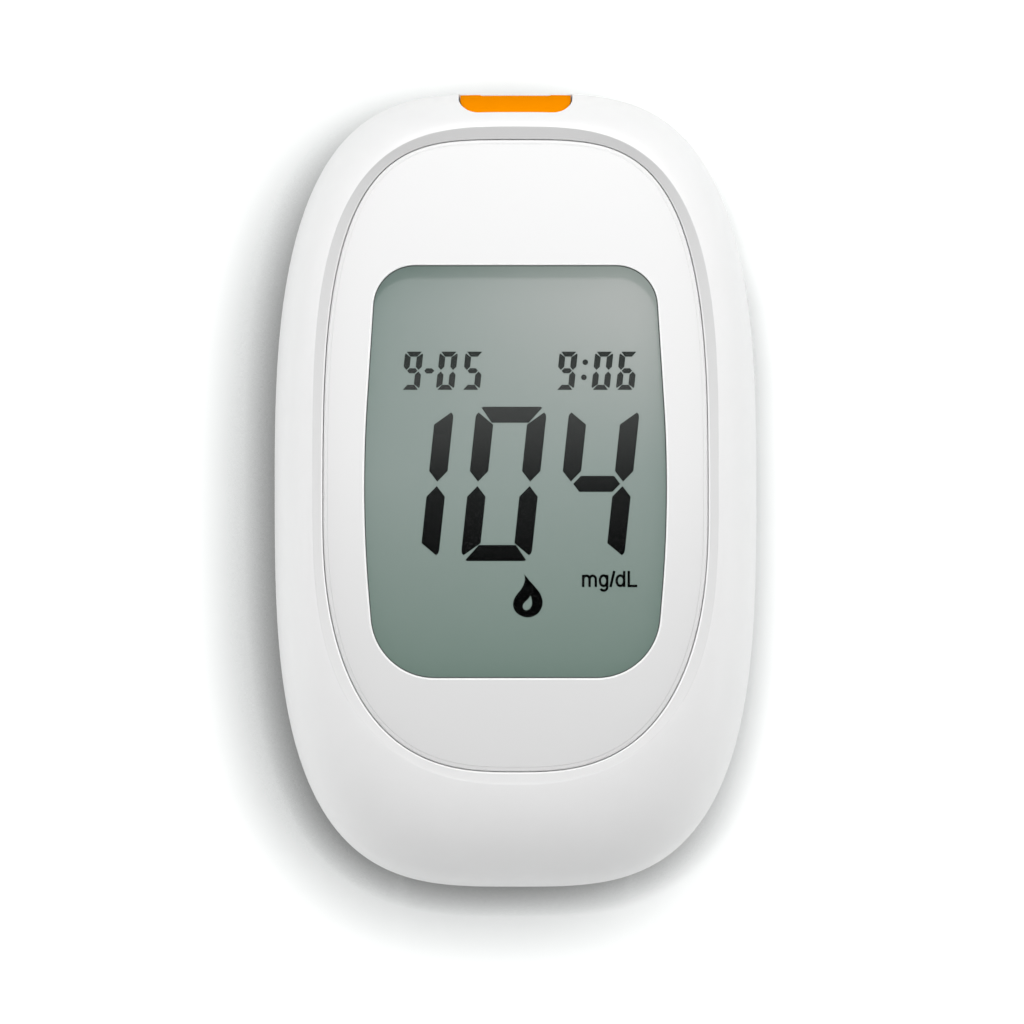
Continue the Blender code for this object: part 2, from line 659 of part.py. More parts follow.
def build_rear_housing():
    top_z = PARTING_Z - GAP / 2
    housing = loft("rear_housing", rear_rings(0, top_z), WHITE_PLASTIC)

    lip_top_z = PARTING_Z + LIP_HEIGHT
    lip_low_z = PARTING_Z - LIP_HEIGHT
    join(housing, prism("lip", inset(BODY_OUTLINE, REAR_WALL - LIP_WALL), lip_low_z, lip_top_z))
    cut(housing, loft("rear_cavity", rear_rings(REAR_WALL, lip_top_z + OVERRUN, HOLLOW_STEPS)))
    cut(housing, insert_cutter("rear_port_cutter"))
    cut(housing, prism("cover_opening", cover_outline(GAP), BACK_Z - OVERRUN, lip_top_z + OVERRUN))

    bay_top_y = BAY_TOP_Y + BAY_WALL
    bay_bottom_y = BAY_BOTTOM_Y - BAY_WALL
    bay_half = BAY_HALF_WIDTH + BAY_WALL
    shelf_half = COVER_HALF_WIDTH + SHELF_BORDER
    shelf_y = (bay_bottom_y + SHELF_HEIGHT + BAY_WALL, COVER_TOP_Y + SHELF_BORDER)
    join(housing, box("bay_shelf", (-shelf_half, shelf_half), shelf_y, (SHELF_Z, SHELF_Z + SHELF_HEIGHT)))
    bay_top_z = BAY_CEILING_Z + BAY_CEILING
    join(housing, box("bay_walls", (-bay_half, bay_half), (bay_bottom_y, bay_top_y), (SHELF_Z, bay_top_z)))

    boss_low_z = BACK_Z + REAR_WALL - SINK
    boss_top_z = PARTING_Z - GAP / 2 - GAP
    join(housing, disc("rear_bosses", REAR_BOSS_RADIUS, boss_low_z, boss_top_z, places=SCREW_PLACES))

    set_top_z = set_flange_z() - GAP
    join(housing, disc("set_boss", SET_BOSS_RADIUS, SHELF_Z + SINK, set_top_z, places=((SET_X, SET_Y),)))

    for index, x in enumerate(guide_places_x()):
        guide_y = centred(carriage_y()[0] + EJECT_TRAVEL - GUIDE_WIDTH, GUIDE_LENGTH)
        guide_z = (BACK_Z + REAR_WALL - SINK, CARRIAGE_LOW_Z - GAP)
        join(housing, box(f"guide_{index + 1}", centred(x, GUIDE_WIDTH), guide_y, guide_z))
    post_x = centred(eject_spring_x(), POST_WIDTH)
    post_y = eject_spring_y()[1] + GAP
    post_z = (BACK_Z + REAR_WALL - SINK, CARRIAGE_LOW_Z + CARRIAGE_HEIGHT)
    join(housing, box("spring_post", post_x, (post_y, post_y + POST_THICKNESS), post_z))

    bay_y = (BAY_BOTTOM_Y, BAY_TOP_Y)
    pocket_x = (-BAY_HALF_WIDTH, BAY_HALF_WIDTH)
    cut(housing, box("bay_pocket", pocket_x, bay_y, (BACK_Z - OVERRUN, BAY_CEILING_Z)))
    slot_y = (BAY_TOP_Y - PLATE_THICKNESS - 2 * GAP, BAY_TOP_Y)
    slot_z = (BAY_CEILING_Z - OVERRUN, bay_top_z + OVERRUN)
    for side in (-1, 1):
        slot_x = centred(side * CELL_SPACING / 2, TERMINAL_WIDTH + 2 * GAP)
        cut(housing, box(f"terminal_slot_{side}", slot_x, slot_y, slot_z))
    for index, (x_range, y_range, z_range) in enumerate(rail_ranges(GAP)):
        cut(housing, box(f"groove_{index + 1}", x_range, y_range, z_range))

    low_z = BACK_Z - OVERRUN
    foot, recess_z = FOOT_RADIUS + GAP, FOOT_HEIGHT + GAP
    recess = [(0, low_z), (foot, low_z), (foot, recess_z), (0, recess_z)]
    cut(housing, turned("foot_recesses", recess, places=FOOT_PLACES))
    head, shank = SCREW_HEAD_RADIUS + GAP, SCREW_SHANK_RADIUS + GAP
    bore = [(0, low_z), (head, low_z), (head, SCREW_SEAT_Z), (shank, SCREW_SEAT_Z)]
    bore += [(shank, boss_top_z + OVERRUN), (0, boss_top_z + OVERRUN)]
    cut(housing, turned("rear_bores", bore, places=SCREW_PLACES))
    cut(housing, disc("set_bore", SET_RADIUS + GAP, low_z, set_top_z + OVERRUN, places=((SET_X, SET_Y),)))

    pad_low_y, pad_high_y = pad_y()
    recess_y = (pad_low_y - GAP, pad_high_y + EJECT_TRAVEL + GAP)
    recess_outline = side_band(recess_y, -PAD_DEPTH - GAP, OVERRUN)
    cut(housing, prism("pad_recess", recess_outline, PAD_LOW_Z - GAP, PAD_LOW_Z + PAD_HEIGHT + GAP))
    neck_low_y, neck_high_y = carriage_y()
    neck_slot = (neck_low_y - GAP, neck_high_y + EJECT_TRAVEL + GAP)
    slot_z = (neck_z()[0] - GAP, neck_z()[1] + GAP)
    cut(housing, box("neck_slot", (neck_inner_x(), BODY_HALF_WIDTH + OVERRUN), neck_slot, slot_z))
    cut(housing, box("button_opening", *button_ranges(GAP)))


def side_band(y_range, inner, outer, steps=8):
    """A strip of outline along the body's right edge, from an inner to an outer offset."""
    places = [y_range[0] + (y_range[1] - y_range[0]) * step / steps for step in range(steps + 1)]
    band = [Vector((edge_x(y) + outer, y)) for y in places]
    return band + [Vector((edge_x(y) + inner, y)) for y in reversed(places)]


def body_form(name, wall):
    """The whole outer form of the meter as one solid, set in by a wall."""
    rings = rear_rings(wall, PARTING_Z + GAP)
    return loft(name, rings[:-1] + front_rings(wall, PARTING_Z, CREST_Z)[1:])


def build_battery_cover():
    top_z = PARTING_Z - GAP / 2
    cover = prism("battery_cover", cover_outline(0), BACK_Z - OVERRUN, top_z, WHITE_PLASTIC)
    keep(cover, loft("cover_form", rear_rings(0, top_z + OVERRUN)))
    cut(cover, loft("cover_hollow", rear_rings(COVER_WALL, top_z + 2 * OVERRUN, HOLLOW_STEPS)))
    for index, (x_range, y_range, z_range) in enumerate(rail_ranges(0)):
        join(cover, box(f"rail_{index + 1}", x_range, y_range, z_range))
    for index in range(GRIP_GROOVES):
        groove_y = centred(COVER_TOP_Y - GRIP_INSET - index * GRIP_PITCH, GRIP_WIDTH)
        groove_z = (BACK_Z - OVERRUN, BACK_Z + GRIP_DEPTH)
        cut(cover, box(f"grip_{index + 1}", (-GRIP_HALF_LENGTH, GRIP_HALF_LENGTH), groove_y, groove_z))


def build_face_plate():
    edge = inset(FACE_OUTLINE, PLATE_TOP_EDGE)
    rings = [(FACE_OUTLINE, FACE_Z), (FACE_OUTLINE, FACE_TOP_Z - PLATE_TOP_EDGE), (edge, FACE_TOP_Z)]
    plate = loft("face_plate", rings, WHITE_PLASTIC)
    cut(plate, prism("window_opening", WINDOW_OUTLINE, FACE_Z - OVERRUN, FACE_TOP_Z + OVERRUN))
    pocket = inset(WINDOW_OUTLINE, -LENS_LEDGE - GAP)
    cut(plate, prism("lens_pocket", pocket, FACE_Z - OVERRUN, FACE_Z + LENS_THICKNESS + GAP))
    lens = inset(WINDOW_OUTLINE, -LENS_LEDGE)
    prism("display_lens", lens, FACE_Z, FACE_Z + LENS_THICKNESS, CLEAR_PLASTIC)


def build_display():
    half = WINDOW_HALF_WIDTH + GLASS_BORDER
    bottom_y = WINDOW_BOTTOM_Y - GLASS_BORDER - SINK
    short_top_y = WINDOW_TOP_Y + GLASS_BORDER
    long_top_y = short_top_y + REAR_GLASS_SHORT
    across = (-half, half)
    short, long = (bottom_y, short_top_y), (bottom_y, long_top_y)

    box("lcd_reflector", across, short, (REFLECTOR_Z, REFLECTOR_Z + REFLECTOR_THICKNESS), DISPLAY_GREY)
    box("lcd_rear_glass", across, short, (REAR_GLASS_Z, REAR_GLASS_Z + GLASS_THICKNESS), GLASS)
    box("lcd_front_glass", across, long, (FRONT_GLASS_Z, FRONT_GLASS_Z + GLASS_THICKNESS), GLASS)
    box("lcd_polariser", across, short, (POLARISER_Z, POLARISER_Z + POLARISER_THICKNESS), DISPLAY_GREY)

    outer = half + GAP + FRAME_WALL
    frame_y = (bottom_y - GAP - FRAME_WALL, long_top_y + GAP + FRAME_WALL)
    frame = box("lcd_frame", (-outer, outer), frame_y, (FRAME_Z, FRAME_TOP_Z), GREY_PLASTIC)
    well = (bottom_y - GAP, long_top_y + GAP)
    well_z = (FRAME_Z + FRAME_FLOOR, FRAME_TOP_Z + OVERRUN)
    cut(frame, box("lcd_well", (-half - GAP, half + GAP), well, well_z))
    zebra_x = (ZEBRA_SHORT - half, half - ZEBRA_SHORT)
    zebra_y = (long_top_y - ZEBRA_WIDTH, long_top_y)
    slot_x = (zebra_x[0] - GAP, zebra_x[1] + GAP)
    slot_y = (zebra_y[0] - GAP, zebra_y[1])
    cut(frame, box("zebra_slot", slot_x, slot_y, (FRAME_Z - OVERRUN, FRAME_Z + FRAME_FLOOR + OVERRUN)))
    zebra_y = (zebra_y[0], zebra_y[1] - GAP)
    box("zebra_connector", zebra_x, zebra_y, (FRAME_Z, FRONT_GLASS_Z - GAP), RUBBER)


def build_board():
    outline = inset(BODY_OUTLINE, BOARD_INSET)
    board = prism("main_board", outline, BOARD_Z, BOARD_TOP_Z, BOARD_GREEN)
    holes = (BOARD_Z - OVERRUN, BOARD_TOP_Z + OVERRUN)
    cut(board, disc("board_holes", FRONT_BOSS_RADIUS + GAP, *holes, places=SCREW_PLACES))
    under_board_box("processor", PROCESSOR_SIZE, PROCESSOR_PLACE_SHARES, BLACK_PLASTIC)
    under_board_box("measuring_chip", MEASURING_CHIP_SIZE, MEASURING_CHIP_PLACE_SHARES, BLACK_PLASTIC)
    under_board_box("clock_crystal", CLOCK_CRYSTAL_SIZE, CLOCK_CRYSTAL_PLACE_SHARES, STEEL)
    place = (BUZZER_PLACE_SHARES[0] * BODY_HALF_WIDTH, BUZZER_PLACE_SHARES[1] * BODY_TOP_Y)
    buzzer_z = UNDER_BOARD_Z - BUZZER_HEIGHT
    disc("buzzer", BUZZER_RADIUS, buzzer_z, UNDER_BOARD_Z, BLACK_PLASTIC, places=(place,))


def under_board_box(name, size, place_shares, finish):
    width, length, height = size
    x, y = place_shares[0] * BODY_HALF_WIDTH, place_shares[1] * BODY_TOP_Y
    box(name, centred(x, width), centred(y, length), (UNDER_BOARD_Z - height, UNDER_BOARD_Z), finish)


def build_strip_port():
    insert = prism_along(
        "strip_port_insert", insert_profile(0), INSERT_INNER_Y, BODY_TOP_Y + OVERRUN, "Y", ORANGE_PLASTIC
    )
    keep(insert, body_form("insert_form", 0))
    flange = INSERT_HALF_WIDTH + FLANGE_BORDER
    flange_y = (INSERT_INNER_Y - GAP, INSERT_INNER_Y + FLANGE_THICKNESS - GAP)
    flange_z = (STRIP_Z - FLANGE_BELOW, STRIP_Z + FLANGE_ABOVE)
    join(insert, box("insert_flange", (-flange, flange), flange_y, flange_z))
    spout = CHANNEL_HALF_WIDTH + SPOUT_WALL
    spout_z = (CHANNEL_TOP_Z - CHANNEL_HEIGHT - SPOUT_WALL, UNDER_BOARD_Z)
    join(insert, box("insert_spout", (-spout, spout), (SPOUT_INNER_Y, INSERT_INNER_Y + SINK), spout_z))
    scoop_y = (BODY_TOP_Y - SCOOP_DEPTH, BODY_TOP_Y + OVERRUN)
    scoop_z = (STRIP_Z - SCOOP_HALF_HEIGHT, STRIP_Z + SCOOP_HALF_HEIGHT)
    cut(insert, box("port_scoop", (-SCOOP_HALF_WIDTH, SCOOP_HALF_WIDTH), scoop_y, scoop_z))
    mouth_y = (SPOUT_INNER_Y - OVERRUN, BODY_TOP_Y + OVERRUN)
    cut(insert, box("port_mouth", (-CHANNEL_HALF_WIDTH, CHANNEL_HALF_WIDTH), mouth_y, channel_z()))


def channel_z():
    return (CHANNEL_TOP_Z - CHANNEL_HEIGHT, CHANNEL_TOP_Z)


def contact_outline():
    """One contact spring from the side, as (y, z): a foot, a slope to the bump and a raised tip."""
    foot_y = CONNECTOR_BOTTOM_Y - GAP - CONTACT_FOOT
    knee_y = foot_y + CONTACT_FOOT
    bump_y = knee_y + CONTACT_REACH
    tip_y = bump_y + CONTACT_TIP
    top_z = UNDER_BOARD_Z
    bump_z, tip_z = top_z - CONTACT_DROP, top_z - CONTACT_DROP / 2
    path = [(foot_y, top_z), (knee_y, top_z), (bump_y, bump_z), (tip_y, tip_z)]
    upper = [Vector(point) for point in path]
    lower = [Vector((y, z - CONTACT_THICKNESS)) for y, z in reversed(path)]
    return lower + upper


def build_strip_connector():
    across = (-CONNECTOR_HALF_WIDTH, CONNECTOR_HALF_WIDTH)
    along = (CONNECTOR_BOTTOM_Y, CONNECTOR_TOP_Y)
    low_z = CHANNEL_TOP_Z - CHANNEL_HEIGHT - CONNECTOR_FLOOR
    connector = box("strip_connector", across, along, (low_z, UNDER_BOARD_Z), BLACK_PLASTIC)
    through = (CONNECTOR_BOTTOM_Y - OVERRUN, CONNECTOR_TOP_Y + OVERRUN)
    cut(connector, box("connector_channel", (-CHANNEL_HALF_WIDTH, CHANNEL_HALF_WIDTH), through, channel_z()))
    groove = CONTACT_WIDTH + 2 * CONTACT_GROOVE_CLEARANCE
    groove_y = (CONNECTOR_BOTTOM_Y - OVERRUN, CONNECTOR_BOTTOM_Y + CONTACT_REACH + CONTACT_TIP)
    for index in range(CONTACT_COUNT):
        x = (index - (CONTACT_COUNT - 1) / 2) * CONTACT_PITCH
        groove_z = (CHANNEL_TOP_Z - CHANNEL_HEIGHT / 2, UNDER_BOARD_Z + OVERRUN)
        cut(connector, box(f"contact_groove_{index + 1}", centred(x, groove), groove_y, groove_z))
        left, right = centred(x, CONTACT_WIDTH)
        prism_along(f"strip_contact_{index + 1}", contact_outline(), left, right, "X", GOLD)


def build_cells():
    plate_y = BAY_TOP_Y - GAP - PLATE_THICKNESS
    bridge_y = BAY_BOTTOM_Y + GAP + PLATE_THICKNESS
    for index, side in enumerate((1, -1)):
        if side > 0:
            tip, direction = plate_y - GAP, -1
        else:
            tip, direction = bridge_y + GAP, 1
        shoulder = tip + direction * CELL_NUB_HEIGHT
        end = tip + direction * CELL_LENGTH
        edge = direction * CELL_EDGE
        profile = [(0, tip), (CELL_NUB_RADIUS, tip), (CELL_NUB_RADIUS, shoulder)]
        profile += [(CELL_RADIUS - CELL_EDGE, shoulder), (CELL_RADIUS, shoulder + edge)]
        profile += [(CELL_RADIUS, end - edge), (CELL_RADIUS - CELL_EDGE, end), (0, end)]
        places = ((side * CELL_SPACING / 2, CELL_Z),)
        turned(f"cell_{index + 1}", profile, CELL_SLEEVE, steps=28, places=places, along_y=True)
        spring_base = bridge_y + GAP if side > 0 else plate_y - GAP
        spring_tip = end - GAP if side > 0 else end + GAP
        battery_spring(f"battery_spring_{index + 1}", side * CELL_SPACING / 2, spring_base, spring_tip)


def build_battery_plates():
    plate_y = (BAY_TOP_Y - GAP - PLATE_THICKNESS, BAY_TOP_Y - GAP)
    plate_z = centred(CELL_Z, PLATE_HEIGHT)
    for name, side in (("battery_plate_positive", 1), ("battery_plate_negative", -1)):
        x = side * CELL_SPACING / 2
        plate = box(name, centred(x, PLATE_WIDTH), plate_y, plate_z, STEEL)
        tab_z = (plate_z[1] - SINK, UNDER_BOARD_Z)
        join(plate, box(name + "_tab", centred(x, TERMINAL_WIDTH), (plate_y[0], plate_y[1]), tab_z))
    bridge_y = (BAY_BOTTOM_Y + GAP, BAY_BOTTOM_Y + GAP + PLATE_THICKNESS)
    box("battery_bridge", centred(0, CELL_SPACING + PLATE_WIDTH), bridge_y, plate_z, STEEL)


def tube(name, points, radius, finish):
    """A round wire through points, with closed ends."""
    curve = bpy.data.curves.new(name, "CURVE")
    curve.dimensions = "3D"
    curve.bevel_depth = radius
    curve.bevel_resolution = 1
    curve.use_fill_caps = True
    spline = curve.splines.new("POLY")
    spline.points.add(len(points) - 1)
    for target, point in zip(spline.points, points):
        target.co = (*point, 1)
    wire = bpy.data.objects.new(name, curve)
    bpy.context.collection.objects.link(wire)
    paint(wire, finish)
    return wire


def helix(x, z, start_y, end_y, start_radius, end_radius, turns, wire_radius):
    """Points along a wire wound round an axis parallel to Y, with straight ends along the axis."""
    steps = 8 * turns
    lead = math.copysign(2 * wire_radius, end_y - start_y)
    low, high = start_y + lead, end_y - lead
    points = []
    for step in range(int(steps) + 1):
        share = step / int(steps)
        angle = math.tau * turns * share
        radius = start_radius + (end_radius - start_radius) * share
        y = low + (high - low) * share
        points.append(Vector((x + radius * math.cos(angle), y, z + radius * math.sin(angle))))
    first = Vector((points[0].x, start_y, points[0].z))
    last = Vector((points[-1].x, end_y, points[-1].z))
    print("least gap of a spring to itself", self_gap(points, turns, wire_radius))
    return [first] + points + [last]


def self_gap(points, turns, wire_radius):
    """The least distance between the surfaces of neighbouring curls, measured on the wire's points."""
    per_turn = int((len(points) - 1) / turns)
    gaps = []
    for index, point in enumerate(points):
        for other in points[index + per_turn // 2:]:
            gaps.append((other - point).length - 2 * wire_radius)
    return min(gaps)


def battery_spring(name, x, base_y, tip_y):
    wide, narrow = BATTERY_SPRING_RADII
    points = helix(x, CELL_Z, base_y, tip_y, wide, narrow, BATTERY_SPRING_TURNS, BATTERY_WIRE_RADIUS)
    tube(name, points, BATTERY_WIRE_RADIUS, STEEL)


def build_fasteners():
    shank_top_z = PARTING_Z - GAP / 2 + SCREW_BITE
    head_top_z = SCREW_SEAT_Z - GAP
    head_low_z = head_top_z - SCREW_HEAD_HEIGHT
    profile = [(0, head_low_z), (SCREW_HEAD_RADIUS, head_low_z), (SCREW_HEAD_RADIUS, head_top_z)]
    profile += [(SCREW_SHANK_RADIUS, head_top_z), (SCREW_SHANK_RADIUS, shank_top_z), (0, shank_top_z)]
    for index, place in enumerate(SCREW_PLACES):
        turned(f"screw_{index + 1}", profile, STEEL, places=(place,))
    for index, place in enumerate(FOOT_PLACES):
        disc(f"foot_{index + 1}", FOOT_RADIUS, 0, FOOT_HEIGHT, RUBBER, places=(place,))


def neck_inner_x():
    return edge_x(PAD_MIDDLE_Y) - NECK_REACH


def guide_places_x():
    return CARRIAGE_INNER_X + INNER_GUIDE_OFFSET, neck_inner_x() - OUTER_GUIDE_OFFSET


def pad_y():
    return centred(PAD_MIDDLE_Y, PAD_RIBS * RIB_PITCH)


def carriage_y():
    return centred(PAD_MIDDLE_Y, NECK_WIDTH)


def neck_z():
    return centred(CARRIAGE_LOW_Z + CARRIAGE_HEIGHT / 2, NECK_HEIGHT)


def eject_spring_x():
    return neck_inner_x() - SPRING_OFFSET


def eject_spring_y():
    start = carriage_y()[1] + GAP
    return start, start + EJECT_SPRING_LENGTH


def build_ejector():
    low_y, high_y = pad_y()
    outer = [Vector((edge_x(low_y) - RIB_VALLEY, low_y))]
    for rib in range(PAD_RIBS):
        middle = low_y + rib * RIB_PITCH + RIB_PITCH / 2
        heights = (-RIB_VALLEY, RIB_PROUD / 2, RIB_PROUD, RIB_PROUD / 2, -RIB_VALLEY)
        for share, proud in zip(RIB_POINT_SHARES, heights):
            y = middle + share * RIB_PITCH
            outer.append(Vector((edge_x(y) + proud, y)))
    outer.append(Vector((edge_x(high_y) - RIB_VALLEY, high_y)))
    inner = [Vector((edge_x(y) - PAD_DEPTH, y)) for y in (high_y, PAD_MIDDLE_Y, low_y)]
    pad = prism("eject_slider", outer + inner, PAD_LOW_Z, PAD_LOW_Z + PAD_HEIGHT, WHITE_PLASTIC)
    neck_x = (neck_inner_x(), edge_x(carriage_y()[1]) - PAD_DEPTH + SINK)
    join(pad, box("pad_neck", neck_x, carriage_y(), neck_z()))
    put_origin(pad, (BODY_HALF_WIDTH - PAD_DEPTH, PAD_MIDDLE_Y, CARRIAGE_LOW_Z + CARRIAGE_HEIGHT / 2))

    bar_z = (CARRIAGE_LOW_Z, CARRIAGE_LOW_Z + CARRIAGE_HEIGHT)
    tongue_z = centred(STRIP_Z, TONGUE_THICKNESS)
    bar_x = (CARRIAGE_INNER_X, neck_inner_x() - GAP)
    carriage = box("eject_carriage", bar_x, carriage_y(), bar_z, GREY_PLASTIC)
    across = (-TONGUE_HALF_WIDTH, TONGUE_HALF_WIDTH)
    join(carriage, box("eject_riser", across, carriage_y(), (bar_z[1] - SINK, tongue_z[1])))
    tongue_y = (carriage_y()[1] - SINK, CONNECTOR_BOTTOM_Y - TONGUE_SHORT)
    join(carriage, box("eject_tongue", across, tongue_y, tongue_z))

    start, end = eject_spring_y()
    spring_z = CARRIAGE_LOW_Z + CARRIAGE_HEIGHT / 2
    points = helix(
        eject_spring_x(), spring_z, start, end, EJECT_SPRING_RADIUS, EJECT_SPRING_RADIUS,
        EJECT_SPRING_TURNS, EJECT_WIRE_RADIUS,
    )
    tube("eject_spring", points, EJECT_WIRE_RADIUS, STEEL)


def button_inner_x():
    return BUTTON_DEPTH - edge_x(BUTTON_MIDDLE_Y)


def button_ranges(grow):
    x_range = (-BODY_HALF_WIDTH - OVERRUN, button_inner_x())
    y_range = centred(BUTTON_MIDDLE_Y, 2 * BUTTON_HALF_LENGTH + 2 * grow)
    z_range = (BUTTON_LOW_Z - grow, BUTTON_LOW_Z + BUTTON_HEIGHT + grow)
    return x_range, y_range, z_range


def build_memory_button():
    button = box("memory_button", *button_ranges(0), WHITE_PLASTIC)
    keep(button, body_form("button_form", BUTTON_SUNK))
    flange = box("button_flange", *button_ranges(BUTTON_FLANGE))
    keep(flange, body_form("button_flange_form", REAR_WALL + GAP))
    join(button, flange)
    middle_z = BUTTON_LOW_Z + BUTTON_HEIGHT / 2

    plunger_x = button_inner_x() + MEMORY_TRAVEL_ROOM
    body_x = plunger_x + SWITCH_PLUNGER
    body_z = (UNDER_BOARD_Z - SWITCH_HEIGHT, UNDER_BOARD_Z)
    along = centred(BUTTON_MIDDLE_Y, SWITCH_LENGTH)
    switch = box("memory_switch", (body_x, body_x + SWITCH_DEPTH), along, body_z, BLACK_PLASTIC)
    plunger = box(
        "memory_plunger", (plunger_x, body_x + SINK), centred(BUTTON_MIDDLE_Y, 2 * SWITCH_PLUNGER_RADIUS),
        centred(middle_z, 2 * SWITCH_PLUNGER_RADIUS),
    )
    join(switch, plunger)


def set_flange_z():
    """The underside of the set button's flange."""
    plunger_z = UNDER_BOARD_Z - SET_SWITCH_HEIGHT - SET_PLUNGER_HEIGHT
    return plunger_z - SET_TRAVEL_ROOM - SET_FLANGE_HEIGHT


def build_set_button():
    low_z = SHELF_Z + SET_SUNK
    flange_z = set_flange_z()
    top_z = flange_z + SET_FLANGE_HEIGHT
    profile = [(0, low_z), (SET_RADIUS, low_z), (SET_RADIUS, flange_z)]
    profile += [(SET_FLANGE_RADIUS, flange_z), (SET_FLANGE_RADIUS, top_z), (0, top_z)]
    button = turned("set_button", profile, GREY_PLASTIC, places=((SET_X, SET_Y),))
    put_origin(button, (SET_X, SET_Y, low_z))

    switch_z = UNDER_BOARD_Z - SET_SWITCH_HEIGHT
    across, along = centred(SET_X, SET_SWITCH_SIZE), centred(SET_Y, SET_SWITCH_SIZE)
    switch = box("set_switch", across, along, (switch_z, UNDER_BOARD_Z), BLACK_PLASTIC)
    plunger_z = switch_z - SET_PLUNGER_HEIGHT
    plunger = disc("set_plunger", SET_RADIUS, plunger_z, switch_z + SINK / 2, places=((SET_X, SET_Y),))
    join(switch, plunger)


build_front_housing()
build_rear_housing()
build_battery_cover()
build_face_plate()
build_display()
build_board()
build_strip_port()
build_strip_connector()
build_cells()
build_battery_plates()
build_fasteners()
build_ejector()
build_memory_button()
build_set_button()
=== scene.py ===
import math

import bmesh
import bpy
from mathutils import Matrix, Vector


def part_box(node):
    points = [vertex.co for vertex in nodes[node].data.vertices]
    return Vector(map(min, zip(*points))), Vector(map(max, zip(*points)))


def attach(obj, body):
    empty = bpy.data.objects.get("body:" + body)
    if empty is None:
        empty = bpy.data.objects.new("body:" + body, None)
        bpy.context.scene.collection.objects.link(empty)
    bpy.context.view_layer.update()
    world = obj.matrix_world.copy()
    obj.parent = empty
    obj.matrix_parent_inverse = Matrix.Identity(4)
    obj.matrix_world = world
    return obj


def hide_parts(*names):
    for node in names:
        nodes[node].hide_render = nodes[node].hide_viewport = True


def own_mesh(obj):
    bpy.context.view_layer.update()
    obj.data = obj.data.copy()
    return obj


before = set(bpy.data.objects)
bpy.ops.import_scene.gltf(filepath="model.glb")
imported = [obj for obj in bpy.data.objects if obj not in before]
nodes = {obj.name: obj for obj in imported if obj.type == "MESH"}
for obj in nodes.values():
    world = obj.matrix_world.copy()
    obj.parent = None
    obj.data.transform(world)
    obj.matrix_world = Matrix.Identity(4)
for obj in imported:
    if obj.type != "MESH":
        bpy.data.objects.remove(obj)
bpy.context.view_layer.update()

# Outlines and meshes are worked out in millimetres. add_mesh scales them to metres.
MM = 0.001
GAP, SEEN_GAP, PORT_GAP = 0.3, 0.075, 0.20  # out of sight, round the face plate and round the strip port
BACK_Z, PARTING_Z, CREST_Z = 0.6, 10.8, 24.0
DECK_Z, DECK_TOP_Z, FACE_Z, FACE_TOP_Z = 19.4, 21.0, 21.3, 23.1
HALF_WIDTH, MIDDLE_Y, TOP_Y, BOTTOM_Y = 28.9, 0.6, 47.6, -47.6
TOP_SQUARENESS, BOTTOM_SQUARENESS, BACK_SQUARENESS = (3.55, 2.75), (3.30, 3.10), 2.4
WALL = 1.8
STRIP_Z = 12.3
PORT_BACK_Y = 43.9
SCREWS = [(-15.0, 36.0), (15.0, 36.0), (-17.9, -31.0), (17.9, -31.0)]
FEET = [(-17.51, 24.99), (17.51, 24.99), (-18.99, -19.99), (18.99, -19.99)]
PAD_Y, PAD_Z, PAD_TRAVEL = (12.03, 25.77), (3.9, 9.6), 5
RIBS, RIB_LENGTH = 6, 2.29
BUTTON_X, BUTTON_Y, BUTTON_Z = (-31.0, -24.4), (14.3, 21.7), (5.9, 8.7)
SET_PLACE = (9.0, 11.5)
COVER_HALF_WIDTH, COVER_TOP_Y = 13.6, 14.0
CELL_X, CELL_Z = 5.6, 7.35
LIP_HEIGHT = 0.13
LINE_DEPTH = 0.06
FIGURES_Z = (19.12, 19.16)
PIXEL = 0.12  # millimetres, at the height of the body's outline
PHOTO_MIDDLE = 512
BODY_PLACE = (3.5, 22)  # of the body's middle, in pixels to the right of and above the photograph's
NEARER = 1.0049  # how much larger the display looks than the outline, which lies further from the camera
SLANT = 0.106
FLOOR_Z = -0.03
WORLD_HIGH, WORLD_LOW = 0.38, 0.76  # overhead and at the horizon


def egg(half_width, middle_y, top_y, bottom_y, top_squareness, bottom_squareness, steps=48, halvings=40):
    """Points round two half superellipses, each at the same edge directions, found by halving."""
    points = []
    for quarter in range(4):
        upper = quarter < 2
        across, along = top_squareness if upper else bottom_squareness
        reach = top_y - middle_y if upper else middle_y - bottom_y
        side = 1 if quarter in (0, 3) else -1
        for step in range(steps):
            place = step if quarter in (0, 2) else steps - step
            facing = math.pi / 4 * (1 - math.cos(math.pi * place / steps))
            low, high = 0, math.pi / 2
            for _ in range(halvings):
                angle = (low + high) / 2
                x_share = math.cos(angle) ** (2 / across)
                y_share = math.sin(angle) ** (2 / along)
                slope_x = across * x_share ** (across - 1) / half_width
                slope_y = along * y_share ** (along - 1) / reach
                if math.atan2(slope_y, slope_x) < facing:
                    low = angle
                else:
                    high = angle
            y = reach * y_share
            points.append(Vector((side * half_width * x_share, middle_y + (y if upper else -y))))
    return points


def inset(points, distance):
    """An outline moved inward, or outward by a negative distance."""
    moved = []
    for index, point in enumerate(points):
        before = (point - points[index - 1]).normalized()
        after = (points[(index + 1) % len(points)] - point).normalized()
        inward = Vector((-before.y - after.y, before.x + after.x)).normalized()
        moved.append(point + inward * distance / max(0.5, inward.dot(Vector((-after.y, after.x)))))
    return moved


def between(first, second, share):
    return [one.lerp(other, share) for one, other in zip(first, second)]


